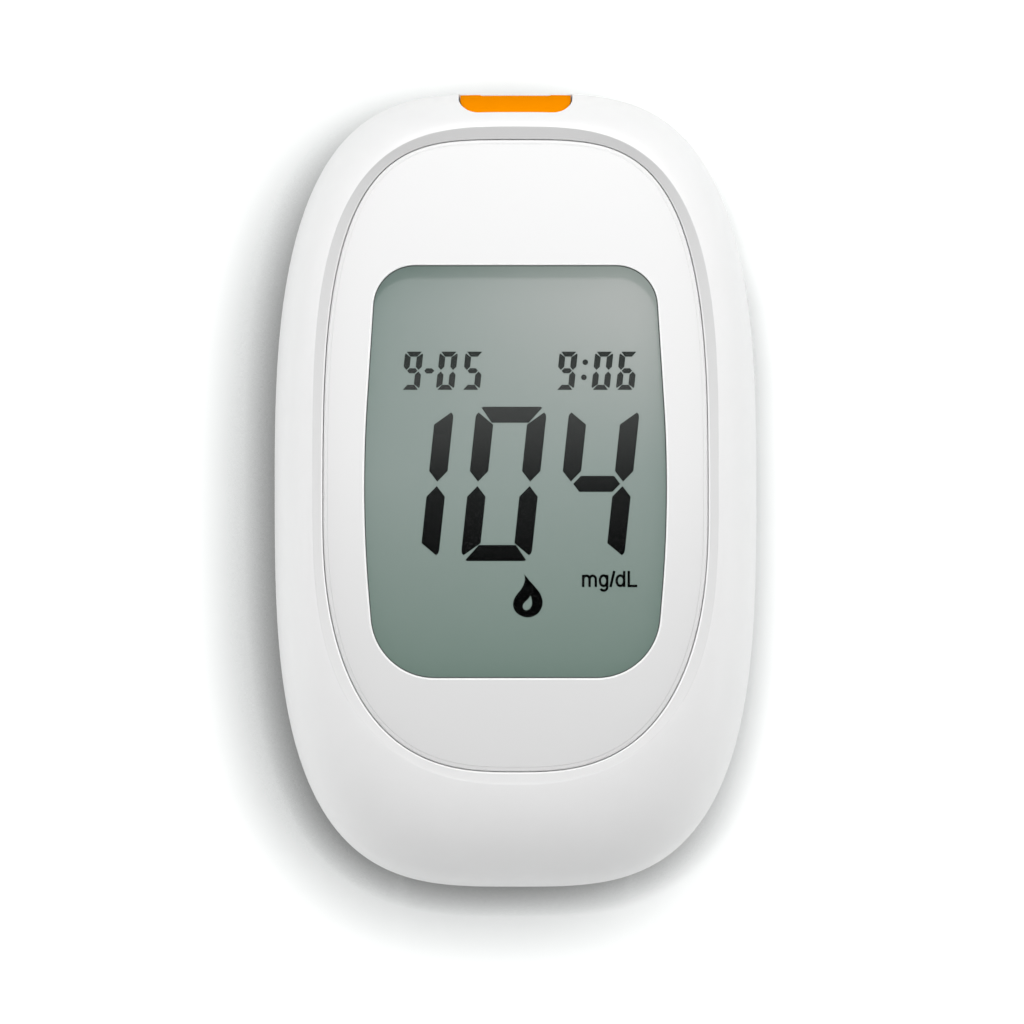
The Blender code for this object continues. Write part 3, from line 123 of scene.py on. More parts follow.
def rounded(corners, steps):
    """A polygon whose corners (x, y, radius), listed counterclockwise, are rounded by arcs."""
    points = []
    for index, (x, y, radius) in enumerate(corners):
        corner = Vector((x, y))
        to_before = (Vector(corners[index - 1][:2]) - corner).normalized()
        to_after = (Vector(corners[(index + 1) % len(corners)][:2]) - corner).normalized()
        half_angle = to_before.angle(to_after) / 2
        middle = corner + (to_before + to_after).normalized() * radius / math.sin(half_angle)
        start = corner + to_before * radius / math.tan(half_angle) - middle
        sweep = math.pi - 2 * half_angle
        for step in range(steps + 1):
            points.append(middle + Matrix.Rotation(sweep * step / steps, 2) @ start)
    return points


def box_outline(left, right, low, high, radius, steps=10):
    corners = ((right, low), (right, high), (left, high), (left, low))
    return rounded([(x, y, radius) for x, y in corners], steps)


BODY = egg(HALF_WIDTH, MIDDLE_Y, TOP_Y, BOTTOM_Y, TOP_SQUARENESS, BOTTOM_SQUARENESS)
CREST = egg(24.17, 0.1, 43.24, -35.01, (3.10, 3.45), (2.35, 3.05))
FACE = egg(22.93, -3.0, 41.70, -33.58, (3.70, 3.30), (2.80, 2.35))


def window_outline():
    """The display window, whose sides bulge most a little below their middle."""
    corner_x, bulge_x, top_y, bottom_y = 16.67, 18.47, 26.78, -22.44
    top_radius, bottom_radius = 5.0, 7.6
    middle_y = top_y + (bottom_y - top_y) * 0.569
    lower = math.atan2(bulge_x - corner_x, middle_y - bottom_y)
    upper = math.atan2(bulge_x - corner_x, top_y - middle_y)
    side = (middle_y - bottom_y - bottom_radius) * 0.85 / math.tan((lower + upper) / 2)
    right = [(corner_x, bottom_y, bottom_radius), (bulge_x, middle_y, side), (corner_x, top_y, top_radius)]
    return rounded(right + [(-x, y, radius) for x, y, radius in reversed(right)], 16)


WINDOW = window_outline()


def edge_x(y):
    """How far out the body's right edge lies at a place along its length."""
    upper = y >= MIDDLE_Y
    across, along = TOP_SQUARENESS if upper else BOTTOM_SQUARENESS
    reach = TOP_Y - MIDDLE_Y if upper else MIDDLE_Y - BOTTOM_Y
    return HALF_WIDTH * (1 - (abs(y - MIDDLE_Y) / reach) ** along) ** (1 / across)


def add_mesh(name, bm):
    bmesh.ops.recalc_face_normals(bm, faces=bm.faces)
    bmesh.ops.scale(bm, vec=(MM, MM, MM), verts=bm.verts)
    mesh = bpy.data.meshes.new(name)
    bm.to_mesh(mesh)
    bm.free()
    piece = bpy.data.objects.new(name, mesh)
    bpy.context.collection.objects.link(piece)
    return piece


def skin(bm, loops):
    """Faces between loops of vertices, and one over each end."""
    for one, other in zip(loops, loops[1:]):
        for index in range(len(one)):
            following = (index + 1) % len(one)
            bm.faces.new((one[index], one[following], other[following], other[index]))
    bm.faces.new(loops[0])
    bm.faces.new(loops[-1])


def loft(name, rings, place=lambda x, y, z: (x, y, z)):
    """A closed solid through rings of (outline, height); place turns them to another direction."""
    bm = bmesh.new()
    skin(bm, [[bm.verts.new(place(point.x, point.y, z)) for point in outline] for outline, z in rings])
    return add_mesh(name, bm)


def prism(name, outline, low_z, high_z):
    return loft(name, [(outline, low_z), (outline, high_z)])


def rounded_prism(name, outline, low, high, edge, steps, both_ends=True):
    """A prism whose upper edge, or the edges of both ends, are rounded by an edge radius."""
    bend = []
    for step in range(steps):
        angle = math.pi / 2 * step / steps
        bend.append((inset(outline, edge * (1 - math.sin(angle))), edge * (1 - math.cos(angle))))
    rings = [(outline, low)]
    if both_ends:
        rings = [(ring, low + rise) for ring, rise in bend] + [(outline, low + edge)]
    rings += [(outline, high - edge)] + [(ring, high - rise) for ring, rise in reversed(bend)]
    return loft(name, rings)


def along_y(x, y, z):
    return (x, z, y)


def along_x(x, y, z):
    return (z, x, y)


def corners_of(x_range, y_range):
    (left, right), (low, high) = x_range, y_range
    return (left, low), (right, low), (right, high), (left, high)


def box(name, x_range, y_range, z_range):
    return prism(name, [Vector(corner) for corner in corners_of(x_range, y_range)], *z_range)


def centred(middle, size):
    return (middle - size / 2, middle + size / 2)


def grown(span, growth):
    return (span[0] - growth, span[1] + growth)


def turned(name, profile, places, steps=48, lengthwise=False):
    """Solids of revolution from (radius, height) points that start and end on the axis."""
    bm = bmesh.new()
    for across, other in places:
        loops = []
        for radius, height in profile:
            loop = []
            for step in range(steps if radius else 1):
                angle = math.tau * step / steps
                x, y = across + radius * math.cos(angle), other + radius * math.sin(angle)
                loop.append(bm.verts.new((x, height, y) if lengthwise else (x, y, height)))
            loops.append(loop)
        for lower, upper in zip(loops, loops[1:]):
            for step in range(steps):
                following = (step + 1) % steps
                corners = [lower[step % len(lower)], lower[following % len(lower)],
                           upper[following % len(upper)], upper[step % len(upper)]]
                unique = list(dict.fromkeys(corners))
                if len(unique) > 2:
                    bm.faces.new(unique)
    return add_mesh(name, bm)


def disc(name, radius, low_z, high_z, places):
    return turned(name, [(0, low_z), (radius, low_z), (radius, high_z), (0, high_z)], places)


def combine(piece, tool, operation):
    modifier = piece.modifiers.new(operation, "BOOLEAN")
    modifier.object, modifier.operation, modifier.solver = tool, operation, "EXACT"
    depsgraph = bpy.context.evaluated_depsgraph_get()
    mesh = bpy.data.meshes.new_from_object(piece.evaluated_get(depsgraph), depsgraph=depsgraph)
    piece.modifiers.clear()
    piece.data = mesh
    bpy.data.objects.remove(tool)


def cut(piece, tool):
    combine(piece, tool, "DIFFERENCE")


def join(piece, tool):
    combine(piece, tool, "UNION")


def keep(piece, tool):
    combine(piece, tool, "INTERSECT")


def coat(piece, materials, sharp):
    """Smooth a piece up to a sharp angle in degrees, and give it its materials."""
    piece.data.shade_smooth()
    piece.data.set_sharp_from_angle(angle=math.radians(sharp))
    piece.data.materials.clear()
    for material in materials:
        piece.data.materials.append(material)


def dress(piece, material, body, *replaced, sharp=35):
    coat(piece, (material,), sharp)
    level = piece.modifiers.new("level_normals", "WEIGHTED_NORMAL")
    level.keep_sharp = True
    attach(piece, body)
    if replaced:
        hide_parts(*replaced)
    return piece


def feed(tree, socket, value):
    """Link an input to another node's output, or set its value."""
    if isinstance(value, bpy.types.NodeSocket):
        tree.links.new(value, socket)
    else:
        socket.default_value = value


def calculate(tree, operation, *values):
    """The result of a math node on numbers or sockets."""
    node = tree.nodes.new("ShaderNodeMath")
    node.operation = operation
    for socket, value in zip(node.inputs, values):
        feed(tree, socket, value)
    return node.outputs[0]


# In the materials the scales of noise are counts per metre and the depths of bumps are metres.
class Nodes:
    """A material with its Principled shader and short ways to add and link nodes."""

    def __init__(self, name, roughness, **values):
        self.material = bpy.data.materials.new(name)
        self.material.use_nodes = True
        self.tree = self.material.node_tree
        self.shader = self.tree.nodes["Principled BSDF"]
        self.shader.inputs["Roughness"].default_value = roughness
        for key, value in values.items():
            self.shader.inputs[key.replace("_", " ")].default_value = value
        self.place = self.add("ShaderNodeTexCoord").outputs["Object"]

    def add(self, kind, **inputs):
        node = self.tree.nodes.new(kind)
        for key, value in inputs.items():
            feed(self.tree, node.inputs[key.replace("_", " ")], value)
        return node

    def noise(self, scale, detail=2.0, roughness=0.5, stretch=(1, 1, 1)):
        mapping = self.add("ShaderNodeMapping", Vector=self.place, Scale=stretch)
        texture = self.add("ShaderNodeTexNoise", Vector=mapping.outputs["Vector"], Scale=scale, Detail=detail,
                           Roughness=roughness)
        return texture.outputs["Fac"]

    def ramp(self, value, *stops):
        node = self.add("ShaderNodeValToRGB", Fac=value)
        elements = node.color_ramp.elements
        while len(elements) < len(stops):
            elements.new(0.5)
        for element, (position, colour) in zip(elements, stops):
            element.position, element.color = position, (*colour, 1)
        return node.outputs["Color"]

    def spread(self, value, low, high, from_low=0.0, from_high=1.0):
        node = self.add("ShaderNodeMapRange", Value=value, From_Min=from_low, From_Max=from_high, To_Min=low,
                        To_Max=high)
        return node.outputs["Result"]

    def run(self, axis, low, high):
        """How far a point lies from one place along an axis to another, from 0 to 1."""
        split = self.add("ShaderNodeSeparateXYZ", Vector=self.place)
        return self.spread(split.outputs[axis], 0.0, 1.0, low, high)

    def mix(self, kind, share, first, second):
        """Two colours or sockets mixed; the mix node has a set of sockets for each type of data."""
        node = self.add("ShaderNodeMix", Factor=share)
        node.data_type, node.blend_type = "RGBA", kind
        feed(self.tree, node.inputs[6], first)
        feed(self.tree, node.inputs[7], second)
        return node.outputs[2]

    def colour(self, value, key="Base Color"):
        feed(self.tree, self.shader.inputs[key], value)

    def rough(self, value):
        feed(self.tree, self.shader.inputs["Roughness"], value)

    def bump(self, height, distance, strength=1.0):
        node = self.add("ShaderNodeBump", Height=height, Distance=distance, Strength=strength)
        previous = self.shader.inputs["Normal"].links
        if previous:
            self.tree.links.new(previous[0].from_socket, node.inputs["Normal"])
        self.tree.links.new(node.outputs["Normal"], self.shader.inputs["Normal"])


def moulded(name, colour, roughness, shift=0.03, grain=9000, depth=0.000004, **values):
    """Moulded plastic: a faint mottle in its colour, uneven gloss and a fine spark-eroded grain."""
    n = Nodes(name, roughness, **values)
    mottle = n.noise(260, 3)
    low = tuple(c * (1 - shift) for c in colour)
    n.colour(n.ramp(mottle, (0.3, low), (0.7, colour)))
    n.rough(n.spread(n.noise(700, 3), roughness - 0.05, roughness + 0.06, 0.3, 0.7))
    n.bump(n.noise(grain, 1), depth, 0.35)
    n.bump(n.noise(60, 1), 0.00002, 0.15)
    return n.material


def darken_creases(material, distance):
    """Shade a material where another surface stands close to it."""
    tree = material.node_tree
    crease = tree.nodes.new("ShaderNodeAmbientOcclusion")
    crease.inputs["Distance"].default_value = distance
    crease.samples = 6
    colour = tree.nodes["Principled BSDF"].inputs["Base Color"]
    tree.links.new(colour.links[0].from_socket, crease.inputs["Color"])
    tree.links.new(crease.outputs["Color"], colour)


white = moulded("white_plastic", (0.80, 0.80, 0.80), 0.36, 0.012)
# A painted highlight, whiter than the face plate, on the bevelled edge of its window.
window_edge_painted_highlight = moulded("window_edge_painted_highlight", (0.93, 0.93, 0.93), 0.35, 0.010)
orange = moulded("orange_plastic", (0.93, 0.275, 0.0), 0.5, 0.03, Specular_IOR_Level=0.0)
darken_creases(orange, 0.6 * MM)
rubber = moulded("foot_rubber", (0.035, 0.035, 0.036), 0.78, 0.25, 5000, 0.00002)
black = moulded("black_plastic", (0.016, 0.016, 0.017), 0.45, 0.3, 7000, 0.000006)
# A dark grey for the strip at the window's edge, which is painted shade standing in for the shadow in the gap
# there.
edge_shade_strip_grey = moulded("edge_shade_strip_dark", (0.085, 0.100, 0.095), 0.7, 0.2, 6000, 0.000006)
grey = moulded("grey_plastic", (0.20, 0.21, 0.22), 0.5, 0.12, 6000, 0.000006)


def metal(name, colour, roughness, stretch):
    """Metal with fine streaks, drawn out along the axes where stretch is small."""
    n = Nodes(name, roughness, Metallic=1.0)
    streaks = n.noise(1400, 4, 0.6, stretch)
    n.colour(n.ramp(streaks, (0.3, tuple(c * 0.86 for c in colour)), (0.7, colour)))
    n.rough(n.spread(streaks, roughness - 0.07, roughness + 0.10, 0.3, 0.7))
    n.bump(streaks, 0.000004, 0.3)
    return n.material


def painted_light_plastic(name, low, middle, high):
    """Plastic whose grey is painted light and shade, from three greys, at the low end, the middle and the
    strip port end of the face, with a satin roughness.
    """
    n = Nodes(name, 0.42)
    stops = ((0.0, low), (0.5, middle), (1.0, high))
    n.colour(n.ramp(n.run("Y", -0.035, 0.043), *((stop, (level, level, level)) for stop, level in stops)))
    n.rough(n.spread(n.noise(700, 3), 0.36, 0.47, 0.3, 0.7))
    n.bump(n.noise(9000, 1), 0.000004, 0.35)
    return n.material


# Painted shade on the ring round the face plate: darker than the white, and darkest at the strip port end,
# where the ring faces away from the light.
ring_painted_shade = painted_light_plastic("ring_painted_shade", 0.745, 0.675, 0.575)
# A painted highlight on the ring's inner lip, bright at the low end and fading towards the strip port end.
lip_painted_highlight = painted_light_plastic("lip_painted_highlight", 0.95, 0.90, 0.60)
# Painted shade on the face plate, darker towards its low end.
face_painted_shade = painted_light_plastic("face_painted_shade", 0.69, 0.785, 0.785)
steel = metal("plated_steel", (0.58, 0.58, 0.60), 0.28, (1, 0.15, 1))
gold = metal("gold_plate", (0.86, 0.62, 0.24), 0.24, (0.2, 1, 1))


def clear_lens():
    """Clear plastic that lets light and shadows pass, with gloss on its face."""
    n = Nodes("lens_clear", 0.06)
    tree = n.tree
    clear = n.add("ShaderNodeBsdfTransparent", Color=(0.985, 0.99, 0.988, 1))
    gloss = n.add("ShaderNodeBsdfGlossy", Color=(1, 1, 1, 1), Roughness=n.spread(n.noise(300), 0.05, 0.09))
    facing = n.add("ShaderNodeLayerWeight", Blend=0.5)
    slope = calculate(tree, "POWER", facing.outputs["Facing"], 5.0)
    mix = n.add("ShaderNodeMixShader", Fac=n.spread(slope, 0.002, 0.60))
    tree.links.new(clear.outputs["BSDF"], mix.inputs[1])
    tree.links.new(gloss.outputs["BSDF"], mix.inputs[2])
    tree.links.new(mix.outputs["Shader"], tree.nodes["Material Output"].inputs["Surface"])
    tree.nodes.remove(n.shader)
    return n.material


def display_film():
    """The display's grey-green background with painted light: darker below, a pale painted reflection towards
    the upper right, and a glow.
    """
    n = Nodes("display_film", 0.42)
    along = n.run("Y", -0.0226, 0.0270)
    green = n.ramp(along, (0.0, (0.143, 0.207, 0.177)), (0.5, (0.240, 0.292, 0.273)),
                   (1.0, (0.212, 0.266, 0.248)))
    # A painted reflection, paler towards the upper right.
    sheen = calculate(n.tree, "MULTIPLY", n.run("X", -0.0182, 0.0182), n.spread(along, 0.0, 1.0, 0.5, 1.0))
    colour = n.mix("MIX", sheen, green, (0.480, 0.480, 0.472, 1))
    # Painted light: the film glows, in a greener tint than its colour, which lightens the shade in the
    # window's recess.
    for key, tint in (("Base Color", (0.61, 0.51, 0.55, 1)), ("Emission Color", (0.41, 0.51, 0.47, 1))):
        n.colour(n.mix("MULTIPLY", 1.0, colour, tint), key)
    n.shader.inputs["Emission Strength"].default_value = 1.0
    n.bump(n.noise(12000, 1), 0.000002, 0.2)
    return n.material


def board_laminate():
    """Green solder mask with copper traces that show through it as paler lines."""
    n = Nodes("board_laminate", 0.35)
    brick = n.add("ShaderNodeTexBrick", Vector=n.place, Scale=900.0, Color1=(0.006, 0.10, 0.035, 1),
                  Color2=(0.008, 0.12, 0.042, 1), Mortar=(0.03, 0.22, 0.08, 1))
    brick.inputs["Mortar Size"].default_value = 0.03
    n.colour(brick.outputs["Color"])
    n.rough(n.spread(n.noise(900), 0.28, 0.42))
    n.bump(brick.outputs["Fac"], 0.00002, 0.4)
    return n.material


def display_ink():
    """The dark of the figures, a little paler towards the top of the display, where a reflection is painted
    on it.
    """
    n = Nodes("display_ink", 0.6, Specular_IOR_Level=0.0)
    n.colour(n.ramp(n.run("Y", -0.010, 0.016), (0.0, (0.0008, 0.0009, 0.0009)), (0.4, (0.014, 0.015, 0.015)),
                    (0.8, (0.062, 0.064, 0.063)), (1.0, (0.036, 0.041, 0.039))))
    n.rough(n.spread(n.noise(900), 0.55, 0.65))
    return n.material


film = display_film()
laminate = board_laminate()
lens_clear = clear_lens()
ink = display_ink()
glass_stack = moulded("display_glass", (0.20, 0.25, 0.23), 0.12, 0.04)


def rear_rings(wall, top_z, steps=18, edge=0.0):
    """The rear shell's form from its back up, with a wall taken off it and its top edge rounded."""
    rings = []
    widest_z, back_inset = PARTING_Z - GAP, 4.0
    for step in range(steps, -1, -1):
        angle = math.pi / 2 * step / steps
        across = math.cos(angle) ** (2 / BACK_SQUARENESS) if step < steps else 0
        down = math.sin(angle) ** (2 / BACK_SQUARENESS)
        outline = inset(BODY, wall + (back_inset - wall) * (1 - across))
        rings.append((outline, widest_z - (widest_z - BACK_Z - wall) * down))
    rings.append((inset(BODY, wall), top_z - edge))
    if edge:
        rings.append((inset(BODY, wall + edge), top_z))
    return rings


def front_rings(wall, bottom_z, top_z, steps=24, edge=0.0):
    """The crown's form from the parting line up, with a wall taken off it and its bottom edge rounded."""
    height = CREST_Z - PARTING_Z - wall
    last_angle = math.asin(min(1, (top_z - PARTING_Z) / height))
    rings = [(inset(BODY, wall + edge), bottom_z)] if edge else []
    rings.append((inset(BODY, wall), bottom_z + edge))
    for step in range(1, steps + 1):
        angle = last_angle * step / steps
        outline = between(BODY, CREST, 1 - max(0, math.cos(angle)))
        rings.append((inset(outline, wall), PARTING_Z + height * math.sin(angle)))
    return rings


def soften(before, corner, after, steps=4):
    """Rings that round the corner ring off between the ring before it and the ring after it."""
    rings = []
    for step in range(steps + 1):
        t = step / steps
        outline = [a * (1 - t) ** 2 + b * 2 * t * (1 - t) + c * t * t
                   for a, b, c in zip(before[0], corner[0], after[0])]
        rings.append((outline, before[1] * (1 - t) ** 2 + corner[1] * 2 * t * (1 - t) + after[1] * t * t))
    return rings


def mixed(first, second, share):
    return between(first[0], second[0], share), first[1] + (second[1] - first[1]) * share


def insert_profile(grow, steps=18):
    """The strip port's outline on the end of the meter, as (x, z), with tall upper corners."""
    half, low, high = 6.6 + grow, STRIP_Z - 4.3 - grow, STRIP_Z + 10.35 + grow
    wide, tall, lower, upper_bend = 2.5 + grow, 5.0 + grow, 2.6 + grow, 0.74
    corners = ((-math.pi / 2, lower, lower, low + lower, 1, 1),
               (0, wide, tall, high - tall, 1, upper_bend),
               (math.pi / 2, wide, tall, high - tall, -1, upper_bend),
               (math.pi, lower, lower, low + lower, -1, 1))
    points = []
    for turn, radius_x, radius_z, middle_z, side, bend in corners:
        for step in range(steps + 1):
            angle = turn + math.pi / 2 * step / steps
            parts = (math.cos(angle), math.sin(angle))
            across, up = (math.copysign(abs(part) ** bend, part) for part in parts)
            points.append(Vector((side * (half - radius_x) + radius_x * across, middle_z + radius_z * up)))
    return points


def insert_cutter(name):
    profile = insert_profile(PORT_GAP)
    return loft(name, [(profile, PORT_BACK_Y), (profile, TOP_Y + 2)], along_y)


def build_front():
    """The crown, which turns in over its crest to the ring round the face plate."""
    crown = front_rings(0, PARTING_Z + GAP / 2, CREST_Z, edge=0.12)
    crest = crown.pop()
    recess = (inset(FACE, -SEEN_GAP), FACE_TOP_Z)
    foot = (recess[0], DECK_TOP_Z)
    rings = crown + soften(mixed(crown[-1], crest, 0.75), crest, mixed(crest, recess, 0.08))
    rings += soften(mixed(crest, recess, 0.85), recess, mixed(recess, foot, 0.06)) + [foot]
    shell = loft("front_shell", rings)
    cut(shell, loft("cavity", front_rings(WALL, PARTING_Z - 2, DECK_Z, 6)))
    cut(shell, prism("relief", inset(BODY, 0.7), PARTING_Z - 2, PARTING_Z + 1.3))
    cut(shell, prism("opening", inset(WINDOW, -0.8), DECK_Z - 2, DECK_TOP_Z + 2))
    cut(shell, insert_cutter("port"))
    dress(shell, white, "housing", "front_housing")
    shell.data.materials.append(ring_painted_shade)
    shell.data.materials.append(lip_painted_highlight)
    # The ring's faces take its painted shade, and the faces of its inner lip the painted highlight.
    ring_middle_y, ring_low_z, least_slope = 3.0, FACE_TOP_Z - 0.3, 0.15
    for face in shell.data.polygons:
        out = Vector((face.center.x, face.center.y - ring_middle_y * MM))
        faces_in = face.normal.xy.dot(out) < -least_slope * out.length
        if faces_in and face.center.z > ring_low_z * MM:
            face.material_index = 2 if face.center.z < (FACE_TOP_Z + LIP_HEIGHT) * MM else 1


def cover_outline(grow):
    half = COVER_HALF_WIDTH + grow
    return box_outline(-half, half, BOTTOM_Y - 2, COVER_TOP_Y + grow, 3.0)


def rail_ranges(grow):
    """The boxes of the cover's two rails, or of the grooves for them, which run out at the bottom end."""
    low_z, top_y, length = BACK_Z + 0.5 + GAP - grow, COVER_TOP_Y - 3.0 + grow, 39.0
    low_y = BOTTOM_Y - 2 if grow else top_y - length
    for side in (-1, 1):
        edges = sorted((side * (COVER_HALF_WIDTH - 0.5), side * (COVER_HALF_WIDTH + 0.8 + grow)))
        yield tuple(edges), (low_y, top_y), (low_z, low_z + 0.4 + 2 * grow)


def side_band(y_range, inner, outer, steps=24):
    """An outline along the body's right edge, from an inner to an outer distance from it."""
    places = [y_range[0] + (y_range[1] - y_range[0]) * step / steps for step in range(steps + 1)]
    return [Vector((edge_x(y) + outer, y)) for y in places] + \
        [Vector((edge_x(y) + inner, y)) for y in reversed(places)]


def build_rear():
    """The rear shell with its lip, battery bay, bosses, grooves, bores and side openings."""
    top_z = PARTING_Z - GAP / 2
    shell = loft("rear_shell", rear_rings(0, top_z, edge=0.12))
    join(shell, prism("lip", inset(BODY, 1.0), PARTING_Z - 1, PARTING_Z + 1))
    cut(shell, loft("cavity", rear_rings(WALL, PARTING_Z + 3, 8)))
    cut(shell, insert_cutter("port"))
    cut(shell, prism("cover_opening", cover_outline(GAP), BACK_Z - 2, PARTING_Z + 3))
    join(shell, box("shelf", (-17.0, 17.0), (-40.5, 17.4), (2.1, 3.1)))
    join(shell, box("bay_walls", (-12.1, 12.1), (-42.3, 8.7), (2.1, 13.6)))
    join(shell, disc("bosses", 3.0, BACK_Z + 1.3, 10.35, SCREWS))
    join(shell, disc("set_boss", 2.1, 2.6, 11.0, (SET_PLACE,)))
    cut(shell, box("pocket", (-11.3, 11.3), (-41.5, 7.9), (BACK_Z - 2, 12.9)))
    for side in (-1, 1):
        cut(shell, box("slot", centred(side * CELL_X, 2.6), (7.0, 7.9), (10.9, 15.6)))
    for x_range, y_range, z_range in rail_ranges(GAP):
        cut(shell, box("groove", x_range, y_range, z_range))
    edge, radius = 0.25, 3.5
    recess = [(0, BACK_Z - 2), (radius + edge + 1.4, BACK_Z - 2), (radius + edge, BACK_Z),
              (radius, BACK_Z + edge), (radius, 1.3), (0, 1.3)]
    cut(shell, turned("foot_recesses", recess, FEET))
    edge, radius, shank = 0.2, 2.2, 1.2
    bore = [(0, BACK_Z - 2), (radius + 2.2, BACK_Z - 2), (radius + edge, BACK_Z), (radius, BACK_Z + edge),
            (radius, 4.0), (shank, 4.0), (shank, 12.4), (0, 12.4)]
    cut(shell, turned("bores", bore, SCREWS))
    cut(shell, disc("set_bore", 1.5, BACK_Z - 2, 13.0, (SET_PLACE,)))
    recess_outline = side_band((PAD_Y[0] - GAP, PAD_Y[1] + PAD_TRAVEL + GAP), -1.3, 2)
    cut(shell, prism("pad_recess", recess_outline, *grown(PAD_Z, GAP)))
    cut(shell, box("neck_slot", (23.0, 31.0), (16.6, 26.2), (5.2, 8.2)))
    cut(shell, box("button_opening", BUTTON_X, grown(BUTTON_Y, GAP), grown(BUTTON_Z, GAP)))
    return dress(shell, white, "housing", "rear_housing")


def build_cover():
    """The battery cover, cut from the rear shell's form, with its rails and six grip grooves."""
    top_z = PARTING_Z - GAP / 2
    cover = prism("cover", cover_outline(0), BACK_Z - 2, top_z)
    keep(cover, loft("form", rear_rings(0, top_z + 2)))
    cut(cover, loft("hollow", rear_rings(1.2, top_z + 4, 8)))
    for x_range, y_range, z_range in rail_ranges(0):
        join(cover, box("rail", x_range, y_range, z_range))
    groove_half_length, groove_width, groove_step, first_groove_y = 5.8, 0.7, 1.6, 7.65
    for index in range(6):
        low_y = first_groove_y - index * groove_step
        outline = box_outline(-groove_half_length, groove_half_length, low_y, low_y + groove_width, 0.34, 5)
        cut(cover, prism("groove", outline, BACK_Z - 2, BACK_Z + 0.4))
    return dress(cover, white, "battery_cover", "battery_cover")


def build_face():
    """The face plate with its engraved line and bevelled window, whose edge carries a painted highlight, the
    lens, and a dark strip between them that is painted shade.
    """
    face = rounded_prism("face", FACE, FACE_Z, FACE_TOP_Z, 0.22, 5, both_ends=False)
    line = loft("line", [(inset(FACE, 0.42), FACE_TOP_Z - LINE_DEPTH), (inset(FACE, 0.40), FACE_TOP_Z + 1)])
    inner, lip = inset(FACE, 0.52), inset(FACE, 0.55)
    cut(line, loft("island", [(inner, FACE_TOP_Z - 1), (inner, FACE_TOP_Z - LINE_DEPTH),
                              (lip, FACE_TOP_Z + 0.001), (lip, FACE_TOP_Z + 2)]))
    cut(face, line)
    edge, steps = 0.20, 5
    rings = [(WINDOW, FACE_Z - 2), (WINDOW, FACE_TOP_Z - edge)]
    for step in range(1, steps + 1):
        angle = math.pi / 2 * step / steps
        grown_window = inset(WINDOW, -edge * (1 - math.cos(angle)))
        rings.append((grown_window, FACE_TOP_Z - edge * (1 - math.sin(angle))))
    rings.append((inset(WINDOW, -edge), FACE_TOP_Z + 1))
    cut(face, loft("window", rings))
    cut(face, prism("pocket", inset(WINDOW, -1.5), FACE_Z - 2, FACE_Z + 1.2))
    dress(face, face_painted_shade, "housing", "face_plate")
    face.data.materials.append(window_edge_painted_highlight)
    # The faces of the window's bevelled edge take the painted highlight.
    for side in face.data.polygons:
        x, y, z = side.center / MM
        if abs(x) < 19.0 and -22.9 < y < 27.2 and z > FACE_TOP_Z - 0.2 and side.normal.z < 0.99:
            side.material_index = 1
    # A dark strip at the window's edge, standing in for the shade of the gap there: painted shade.
    edge_shade_strip = prism("lens_edge_shade_strip", inset(WINDOW, -0.6), FACE_Z + 0.93, FACE_Z + 1.05)
    cut(edge_shade_strip, prism("inside", inset(WINDOW, 0.13), FACE_Z, FACE_Z + 2))
    dress(edge_shade_strip, edge_shade_strip_grey, "housing")
    lens = rounded_prism("lens", inset(WINDOW, -1.2), FACE_Z, FACE_Z + 0.9, 0.08, 2)
    dress(lens, lens_clear, "housing", "display_lens")


def body_form(name, wall):
    rings = rear_rings(wall, PARTING_Z + GAP)
    return loft(name, rings[:-1] + front_rings(wall, PARTING_Z, CREST_Z)[1:])


def build_port():
    """The strip port insert with its scooped mouth."""
    insert = loft("port", [(insert_profile(0), PORT_BACK_Y + GAP), (insert_profile(0), TOP_Y + 2)], along_y)
    keep(insert, body_form("form", 0.18))
    join(insert, box("flange", (-8.2, 8.2), (PORT_BACK_Y, 45.1), (9.0, 15.0)))
    join(insert, box("spout", (-4.6, 4.6), (41.8, 44.7), (10.8, 13.6)))
    scoop = box_outline(-4.1, 4.1, STRIP_Z - 3.4, STRIP_Z + 3.4, 0.5, 6)
    rings = [(scoop, TOP_Y - 0.42), (inset(scoop, -0.12), TOP_Y - 0.3), (inset(scoop, -1.2), TOP_Y + 1.5)]
    cut(insert, loft("scoop", rings, along_y))
    mouth = box_outline(-3.7, 3.7, 11.7, 12.9, 0.2, 4)
    cut(insert, loft("mouth", [(mouth, 39.8), (mouth, TOP_Y + 2)], along_y))
    return dress(insert, orange, "housing", "strip_port_insert")


def build_side_pieces():
    """The ribbed thumb pad and the memory button."""
    low_y, high_y = PAD_Y
    rib_steps, rib_rise, rib_depth = 10, 0.2, 0.5
    outer = [Vector((edge_x(low_y) - 0.3, low_y))]
    for rib in range(RIBS):
        for step in range(rib_steps):
            share = (step + 0.5) / rib_steps
            y = low_y + (rib + share) * RIB_LENGTH
            drop = rib_depth * (1 - math.sin(math.pi * share)) ** 1.6
            outer.append(Vector((edge_x(y) + rib_rise - drop, y)))
    outer.append(Vector((edge_x(high_y) - 0.3, high_y)))
    inner = [Vector((edge_x(y) - 1.0, y)) for y in (high_y, (low_y + high_y) / 2, low_y)]
    pad = rounded_prism("thumb_pad", outer + inner, *PAD_Z, 0.12, 3)
    join(pad, box("neck", (23.0, 27.7), (16.9, 20.9), (5.5, 7.9)))
    dress(pad, white, "ejector", "eject_slider", sharp=50)

    profile = rounded([(y, z, 0.5) for y, z in corners_of(BUTTON_Y, BUTTON_Z)], 6)
    button = loft("side_button", [(profile, x) for x in BUTTON_X], along_x)
    keep(button, body_form("form", 0.15))
    flange = box("flange", BUTTON_X, grown(BUTTON_Y, 0.9), grown(BUTTON_Z, 0.9))
    keep(flange, body_form("form", 2.1))
    join(button, flange)
    dress(button, white, "memory_button", "memory_button")


